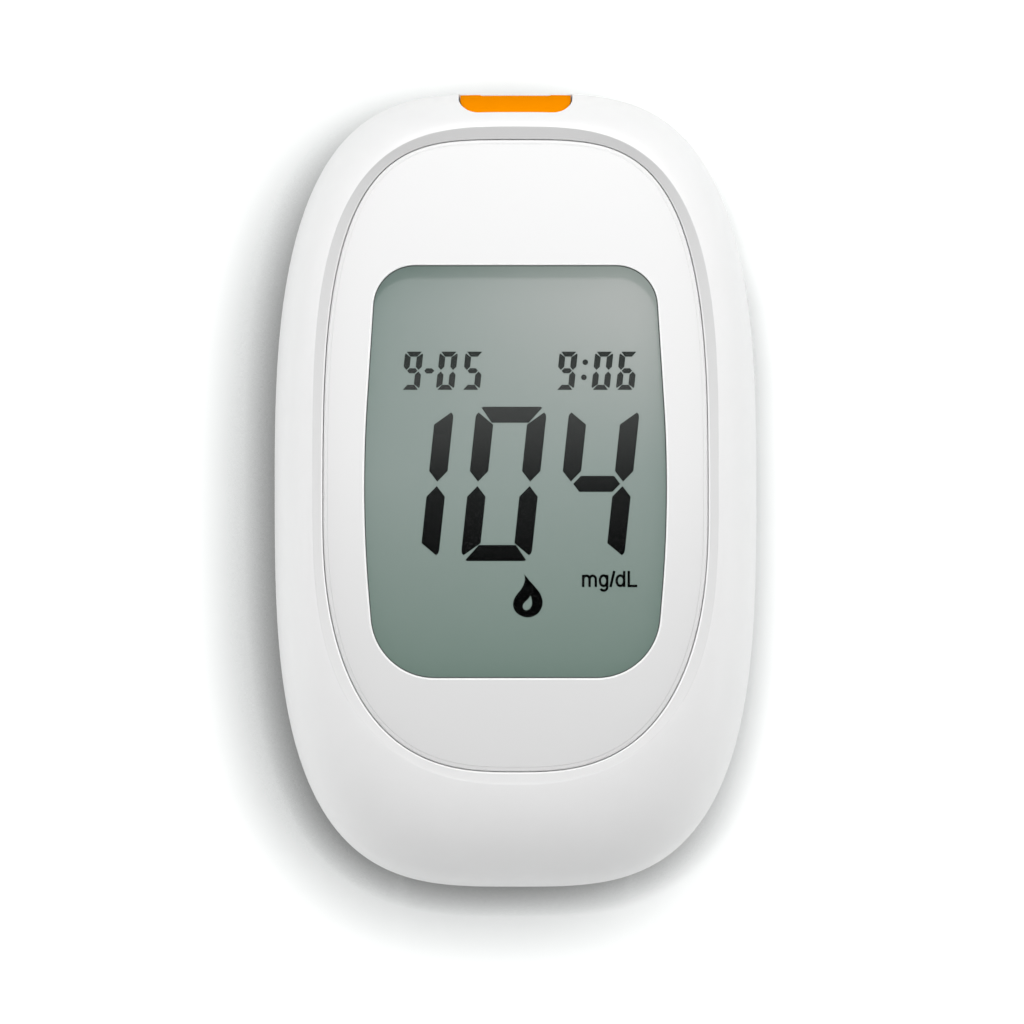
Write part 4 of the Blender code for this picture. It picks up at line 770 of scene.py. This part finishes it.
def build_small_parts():
    """The rubber feet and the screws, each with its thread and cross."""
    foot = [(0, 0.0), (2.8, 0.0), (3.05, 0.06), (3.17, 0.2), (3.2, 0.35), (3.2, 1.0), (0, 1.0)]
    for index, place in enumerate(FEET):
        dress(turned(f"foot_pad_{index + 1}", foot, (place,), 64), rubber, "housing", f"foot_{index + 1}")

    head = [(0, 2.4), (1.2, 2.4), (1.62, 2.5), (1.84, 2.72), (1.9, 3.0), (1.9, 3.7), (0.9, 3.7)]
    thread = []
    for turn in range(10):
        z = 4.4 + turn * 1.2
        thread += [(0.70, z), (0.90, z + 0.25), (0.70, z + 0.5)]
    tip = [(0.6, 16.9), (0, 17.05)]
    slot_half_length, slot_half_width = 1.1, 0.2
    for index, place in enumerate(SCREWS):
        screw = turned(f"screw_dressed_{index + 1}", head + thread + tip, (place,), 40)
        for angle in (0.4 + index, 0.4 + index + math.pi / 2):
            across = Vector((math.cos(angle), math.sin(angle)))
            along = Vector((-across.y, across.x))
            corners = [across * a * slot_half_length + along * b * slot_half_width + Vector(place)
                       for a, b in corners_of((-1, 1), (-1, 1))]
            cut(screw, prism("cross", corners, 1.5, 3.1))
        dress(screw, steel, "housing", f"screw_{index + 1}")


def coil(name, centre, start_y, end_y, radii, wire, turns, steps=20, sides=10):
    """A wire wound round an axis along Y, with straight ends along the axis."""
    lead = math.copysign(2 * wire, end_y - start_y)
    start_radius, end_radius = radii
    points, outwards = [], []
    for step in range(steps * turns + 1):
        share = step / (steps * turns)
        angle = math.tau * turns * share
        outwards.append(Vector((math.cos(angle), 0, math.sin(angle))))
        y = start_y + lead + (end_y - start_y - 2 * lead) * share
        radius = start_radius + (end_radius - start_radius) * share
        points.append(Vector((centre[0], y, centre[1])) + outwards[-1] * radius)
    first, last = (Vector((point.x, y, point.z)) for point, y in ((points[0], start_y), (points[-1], end_y)))
    points = [first] + points + [last]
    outwards = outwards[:1] + outwards + outwards[-1:]

    bm = bmesh.new()
    loops = []
    turns_round = [math.tau * side / sides for side in range(sides)]
    for index, (point, outward) in enumerate(zip(points, outwards)):
        along = (points[min(index + 1, len(points) - 1)] - points[max(index - 1, 0)]).normalized()
        across = along.cross(outward).normalized()
        outward = across.cross(along)
        ring = [point + (outward * math.cos(turn) + across * math.sin(turn)) * wire for turn in turns_round]
        loops.append([bm.verts.new(place) for place in ring])
    skin(bm, loops)
    return add_mesh(name, bm)


def build_springs():
    """The battery springs and the ejector's spring."""
    for index, side in enumerate((1, -1)):
        node = f"battery_spring_{index + 1}"
        low, high = (corner[1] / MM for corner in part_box(node))
        start_y, end_y = (low, high) if side > 0 else (high, low)
        centre = (side * CELL_X, CELL_Z)
        spring = coil(f"battery_coil_{index + 1}", centre, start_y, end_y, (3.6, 2.0), 0.3, 2)
        dress(spring, steel, "housing", node)
    low, high = (Vector(corner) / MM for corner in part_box("eject_spring"))
    middle = (low + high) / 2
    spring = coil("eject_coil", (middle.x, middle.z), low.y, high.y, (1.5, 1.5), 0.25, 9)
    dress(spring, steel, "housing", "eject_spring")
    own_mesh(spring)


def cell_skin():
    """The plain blue-grey film round a cell."""
    n = Nodes("cell_sleeve", 0.3)
    n.colour(n.ramp(n.noise(300), (0.3, (0.075, 0.115, 0.165)), (0.7, (0.085, 0.128, 0.180))))
    n.rough(n.spread(n.noise(800), 0.22, 0.34))
    n.bump(n.noise(150, 2, 0.5, (1, 0.1, 1)), 0.00002, 0.2)
    return n.material


def band_skin():
    """The pale band at a cell's positive end."""
    n = Nodes("cell_band", 0.3, Metallic=0.6)
    n.colour(n.ramp(n.noise(900, 2, 0.5, (1, 0.1, 1)), (0.3, (0.60, 0.61, 0.62)), (0.7, (0.68, 0.69, 0.70))))
    n.rough(n.spread(n.noise(800), 0.24, 0.36))
    return n.material


def build_cells():
    """Two AAA cells that lie head to tail, with crimped ends."""
    sleeve, band = cell_skin(), band_skin()
    band_end, end_radius = 13.0, 4.6
    profile = [(0, 0), (1.7, 0), (1.9, 0.15), (1.9, 1.0), (2.3, 1.15), (4.4, 1.15), (4.55, 1.0), (5.0, 1.02),
               (5.2, 1.15), (5.25, 1.4), (5.25, band_end), (5.25, 43.9), (5.15, 44.2), (4.8, 44.3),
               (4.7, 44.2), (4.4, 44.35), (0, 44.5)]
    for index, (side, tip) in enumerate(((1, 7.0), (-1, -40.6))):
        places = [(radius, tip - side * depth) for radius, depth in profile]
        cell = turned(f"cell_dressed_{index + 1}", places, ((side * CELL_X, CELL_Z),), 72, True)
        coat(cell, (sleeve, band, steel), 40)
        for face in cell.data.polygons:
            centre = face.center
            radius = math.hypot(centre.x - side * CELL_X * MM, centre.z - CELL_Z * MM)
            depth = abs(centre.y - tip * MM)
            if radius < end_radius * MM:
                face.material_index = 2
            elif depth < band_end * MM:
                face.material_index = 1
        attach(cell, "housing")
        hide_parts(f"cell_{index + 1}")


def from_photo(x, y):
    """A place on the display in millimetres, from its pixel in the photograph."""
    across, up = (x - PHOTO_MIDDLE) / NEARER, (PHOTO_MIDDLE - y) / NEARER
    return Vector((across - BODY_PLACE[0], up - BODY_PLACE[1])) * PIXEL


SEGMENTS = {"0": "abcdef", "1": "bc", "4": "fgbc", "5": "afgcd", "6": "afgedc", "9": "abcdfg"}


def segment_corners(name, width, height, upright, level, space):
    """One of seven segments in a box from (0, 0) at the lower left. Uprights point at the middle line."""
    mid = height / 2
    rows = {"a": height, "g": mid, "d": 0}
    if name == "g":
        tip, corner = upright * 0.64, upright * 1.02
        return [(tip, mid), (corner, mid - level / 2), (width - corner, mid - level / 2), (width - tip, mid),
                (width - corner, mid + level / 2), (corner, mid + level / 2)]
    if name in rows:
        y, way = rows[name], -1 if name == "a" else 1
        outer, inner = upright * 0.22 + space, upright * 0.86 + space
        edge, side = y + way * level, y + way * level * 0.06
        return [(outer + upright * 0.1, y), (width - outer - upright * 0.1, y), (width - outer, side),
                (width - inner, edge), (inner, edge), (outer, side)]
    upper = name in "fb"
    outer, inner = (0, upright) if name in "fe" else (width, width - upright)
    end, way = (height, -1) if upper else (0, 1)
    edge, side = outer + (inner - outer) * 0.14, outer + (inner - outer) * 0.03
    ending = ((side, 0.44), (edge, 0.30), (inner, 1.06))
    tip = ((inner, 0.80), ((outer + inner) / 2, 0.14), (outer, 0.80))
    corners = [(x, end + way * (level * share + space)) for x, share in ending]
    corners += [(x, mid - way * level * share) for x, share in tip]
    return corners + [(outer, end + way * (level * 0.62 + space))]


def draw_shapes(name, shapes):
    """Thin printed figures on the display, from lists of corners in millimetres."""
    bm = bmesh.new()
    for corners in shapes:
        skin(bm, [[bm.verts.new((x, y, z)) for x, y in corners] for z in FIGURES_Z])
    return dress(add_mesh(name, bm), ink, "housing")


def digit_shapes(text, left, top, width, height, upright, level, space):
    """A digit's segments from its unslanted box in pixels. The slant is taken about its middle row."""
    shapes = []
    for segment in SEGMENTS[text]:
        corners = []
        for x, y in segment_corners(segment, width, height, upright, level, space):
            row = top + height - y
            corners.append(from_photo(left + x + SLANT * (top + height / 2 - row), row))
        shapes.append(corners)
    return shapes


def ring_shape(centre_x, centre_y, radius, steps=24):
    turns = [math.tau * step / steps for step in range(steps)]
    return [from_photo(centre_x + radius * math.cos(turn), centre_y - radius * math.sin(turn))
            for turn in turns]


def smooth_shape(places, steps=5):
    """A closed curve through places in pixels, with a sharp corner at the first."""
    points = []
    count = len(places)
    for index in range(count):
        before, start, end, after = (Vector(places[(index + k - 1) % count]) for k in range(4))
        if index == 0:
            before = start
        if index == count - 1:
            after = end
        for step in range(steps):
            t = step / steps
            point = 0.5 * (2 * start + (end - before) * t
                           + (2 * before - 5 * start + 4 * end - after) * t ** 2
                           + (3 * start - before - 3 * end + after) * t ** 3)
            points.append(from_photo(point.x, point.y))
    return points


DROP = ((524.4, 574.2), (529.2, 580.3), (534.9, 586.6), (540.0, 593.2), (542.5, 600.3), (542.0, 606.6),
        (538.7, 612.6), (533.4, 616.2), (528.0, 617.4), (522.1, 616.3), (516.5, 612.7), (513.4, 607.2),
        (513.5, 600.9), (516.5, 594.9), (520.9, 589.6), (523.7, 584.3), (524.9, 579.5))
DROP_LIGHT = ((530.5, 595.4), (532.0, 600.9), (531.6, 605.6), (529.0, 609.3), (525.7, 610.2), (523.2, 608.2),
              (522.8, 605.2), (524.8, 602.1), (528.2, 599.1))


def build_figures():
    """The result, the date and the time above it, and the drop and the unit below it."""
    big = []
    for index, text in enumerate("104"):
        big += digit_shapes(text, 375.6 + index * 92.9, 406.7, 70.6, 154.3, 18.4, 16.0, 0.9)
    draw_shapes("figures_large", big)
    small = []
    for text, left in (("9", 403.6), ("0", 438.2), ("5", 464.0), ("9", 558.1), ("0", 593.7), ("6", 618.2)):
        small += digit_shapes(text, left - 0.4, 351.6, 18.2, 38.2, 6.1, 5.0, 0.4)
    dash = ((424.2, 370.8), (426.6, 368.3), (431.8, 368.3), (434.4, 370.8), (431.6, 373.4), (426.4, 373.4))
    small.append([from_photo(x, y) for x, y in dash])
    small += [ring_shape(585.3, 362.2, 2.8), ring_shape(583.9, 377.3, 2.8)]
    draw_shapes("figures_small", small)

    drop = draw_shapes("drop_mark", [smooth_shape(DROP)])
    cut(drop, prism("drop_hollow", smooth_shape(DROP_LIGHT), 19.0, 19.3))
    dress(drop, ink, "housing")

    shapes = []
    for places in unit_strokes():
        shapes += stroke(places, 2.5)
    draw_shapes("figures_unit", shapes)


def arc(centre_x, centre_y, radius_x, radius_y, start, end, steps=12):
    """Places in pixels along an arc, with angles in degrees, upwards from the right."""
    turns = [math.radians(start + (end - start) * step / steps) for step in range(steps + 1)]
    return [(centre_x + radius_x * math.cos(turn), centre_y - radius_y * math.sin(turn)) for turn in turns]


def stroke(places, width):
    """Shapes along a line of places in pixels, one for each piece of the line, mitred where they meet."""
    line = [Vector(place) for place in places]
    sides = []
    for index, place in enumerate(line):
        before = (place - line[max(0, index - 1)]).normalized()
        after = (line[min(len(line) - 1, index + 1)] - place).normalized()
        along = (before + after).normalized()
        across = Vector((-along.y, along.x)) * width / 2
        if before.length and after.length:
            across /= max(0.4, along.dot(after))
        sides.append((place - across, place + across))
    return [[from_photo(*corner) for corner in (one[0], one[1], other[1], other[0])]
            for one, other in zip(sides, sides[1:])]


def unit_strokes():
    """The strokes of mg/dL as lines of places in pixels, on a baseline at 587."""
    base, low_top, top = 587.0, 574.8, 570.9
    arch = [arc(586.4, 579.2, 3.2, 3.5, 160, 0), arc(592.7, 579.2, 3.1, 3.5, 165, 0)]
    return [
        [(583.2, base), (583.2, low_top)],
        arch[0] + [(589.6, base)],
        arch[1] + [(595.8, base)],
        arc(603.6, 580.7, 3.7, 5.2, -15, 345, 24),
        [(607.2, low_top), (607.2, base)] + arc(603.7, base, 3.5, 3.6, 0, -150)[1:],
        [(610.5, base), (614.3, top)],
        arc(620.4, 580.7, 3.8, 5.2, -15, 345, 24),
        [(624.2, base), (624.2, top)],
        [(628.8, top), (628.8, base - 1.05), (637.3, base - 1.05)],
    ]


build_front()
build_rear()
build_cover()
build_face()
build_port()
build_side_pieces()
build_small_parts()
build_springs()
build_cells()
build_figures()

finishes = {
    "lcd_polariser": film, "lcd_reflector": film, "lcd_rear_glass": glass_stack,
    "lcd_front_glass": glass_stack, "lcd_frame": grey, "eject_carriage": grey, "set_button": grey,
    "zebra_connector": rubber, "main_board": laminate, "processor": black, "measuring_chip": black,
    "buzzer": black, "strip_connector": black, "memory_switch": black, "set_switch": black,
    "clock_crystal": steel, "battery_bridge": steel, "battery_plate_positive": steel,
    "battery_plate_negative": steel,
}
for index in range(5):
    finishes[f"strip_contact_{index + 1}"] = gold
for name, material in finishes.items():
    node = nodes[name]
    node.data.materials.clear()
    node.data.materials.append(material)


def see_through_rays(tree):
    """1 for rays from the camera, a mirror or glass, and 0 for the light that falls on the object."""
    path = tree.nodes.new("ShaderNodeLightPath")
    total = path.outputs["Is Camera Ray"]
    for name in ("Is Glossy Ray", "Is Transmission Ray"):
        total = calculate(tree, "MAXIMUM", total, path.outputs[name])
    return total


def build_floor():
    """A white floor, shaded close to the object at its left and its bottom end, as in the photograph."""
    bm = bmesh.new()
    bmesh.ops.create_grid(bm, x_segments=8, y_segments=8, size=1500)
    bmesh.ops.translate(bm, vec=(0, 0, FLOOR_Z), verts=bm.verts)
    floor = add_mesh("floor", bm)
    material = bpy.data.materials.new("floor_white")
    material.use_nodes = True
    tree = material.node_tree
    shader = tree.nodes["Principled BSDF"]
    shade = (0.96, 0.975, 0.97, 1)
    for distance, towards in ((0.0058, (0.20, 0.76, 0.62)), (0.014, (0.48, 0.26, 0.84))):
        near = tree.nodes.new("ShaderNodeAmbientOcclusion")
        feed(tree, near.inputs["Color"], shade)
        near.inputs["Distance"].default_value = distance
        near.samples = 8
        side = tree.nodes.new("ShaderNodeCombineXYZ")
        for socket, value in zip(side.inputs, Vector(towards).normalized()):
            socket.default_value = value
        tree.links.new(side.outputs[0], near.inputs["Normal"])
        shade = near.outputs["Color"]
    tree.links.new(shade, shader.inputs["Base Color"])
    shader.inputs["Roughness"].default_value = 0.8
    shader.inputs["Specular IOR Level"].default_value = 0.1
    lift = calculate(tree, "MULTIPLY", see_through_rays(tree), 0.62)
    tree.links.new(shade, shader.inputs["Emission Color"])
    tree.links.new(lift, shader.inputs["Emission Strength"])
    floor.data.materials.append(material)
    return floor


def build_world():
    """A white room that lights the object more from the horizon than from overhead, and looks plain white."""
    world = bpy.data.worlds.new("studio")
    bpy.context.scene.world = world
    world.use_nodes = True
    tree = world.node_tree
    tree.nodes["Background"].inputs["Color"].default_value = (1, 1, 1, 1)
    direction = tree.nodes.new("ShaderNodeTexCoord")
    split = tree.nodes.new("ShaderNodeSeparateXYZ")
    tree.links.new(direction.outputs["Generated"], split.inputs["Vector"])
    horizon = calculate(tree, "POWER", calculate(tree, "SUBTRACT", 1.0, split.outputs["Z"]), 2.0)
    room = tree.nodes.new("ShaderNodeMapRange")
    room.inputs["To Min"].default_value = WORLD_HIGH
    room.inputs["To Max"].default_value = WORLD_LOW
    tree.links.new(horizon, room.inputs["Value"])
    level = tree.nodes.new("ShaderNodeMapRange")
    level.inputs["To Max"].default_value = 1.0
    tree.links.new(room.outputs["Result"], level.inputs["To Min"])
    tree.links.new(see_through_rays(tree), level.inputs["Value"])
    tree.links.new(level.outputs["Result"], tree.nodes["Background"].inputs["Strength"])


def add_lamp(name, place, size, power, mirrored=True):
    """A round lamp, in metres and watts, that faces the object."""
    lamp = bpy.data.lights.new(name, "AREA")
    lamp.shape, lamp.size, lamp.energy = "DISK", size, power
    holder = bpy.data.objects.new(name, lamp)
    bpy.context.collection.objects.link(holder)
    holder.location = place
    holder.visible_camera = False
    holder.visible_glossy = mirrored
    holder.rotation_mode = "QUATERNION"
    holder.rotation_quaternion = Vector(place).to_track_quat("Z", "Y")
    return holder


floor = build_floor()
build_world()
# The key lights the object alone: the floor's shade comes from its material.
key = add_lamp("key", (0.025, 0.205, 0.478), 0.048, 0.73)
unlit = bpy.data.collections.new("not_lit_by_key")
unlit.objects.link(floor)
unlit.collection_objects[0].light_linking.link_state = "EXCLUDE"
key.light_linking.receiver_collection = unlit
add_lamp("soft", (0.02, 0.10, 0.14), 0.16, 0.091)
add_lamp("fill_left", (-0.42, -0.11, 0.12), 0.20, 0.54, False)
add_lamp("fill_right", (0.42, -0.15, 0.12), 0.20, 0.45, False)

# The camera stands straight above, 1.707 m from the level of the body's outline.
camera_z = PARTING_Z * MM + 1.707
camera = bpy.data.cameras.new("camera")
camera.lens = 500
camera.sensor_width = 36
camera_holder = bpy.data.objects.new("camera", camera)
bpy.context.collection.objects.link(camera_holder)
camera_holder.location = (-BODY_PLACE[0] * PIXEL * MM, -BODY_PLACE[1] * PIXEL * MM, camera_z)
bpy.context.scene.camera = camera_holder

view = bpy.context.scene.view_settings
view.view_transform = "Standard"
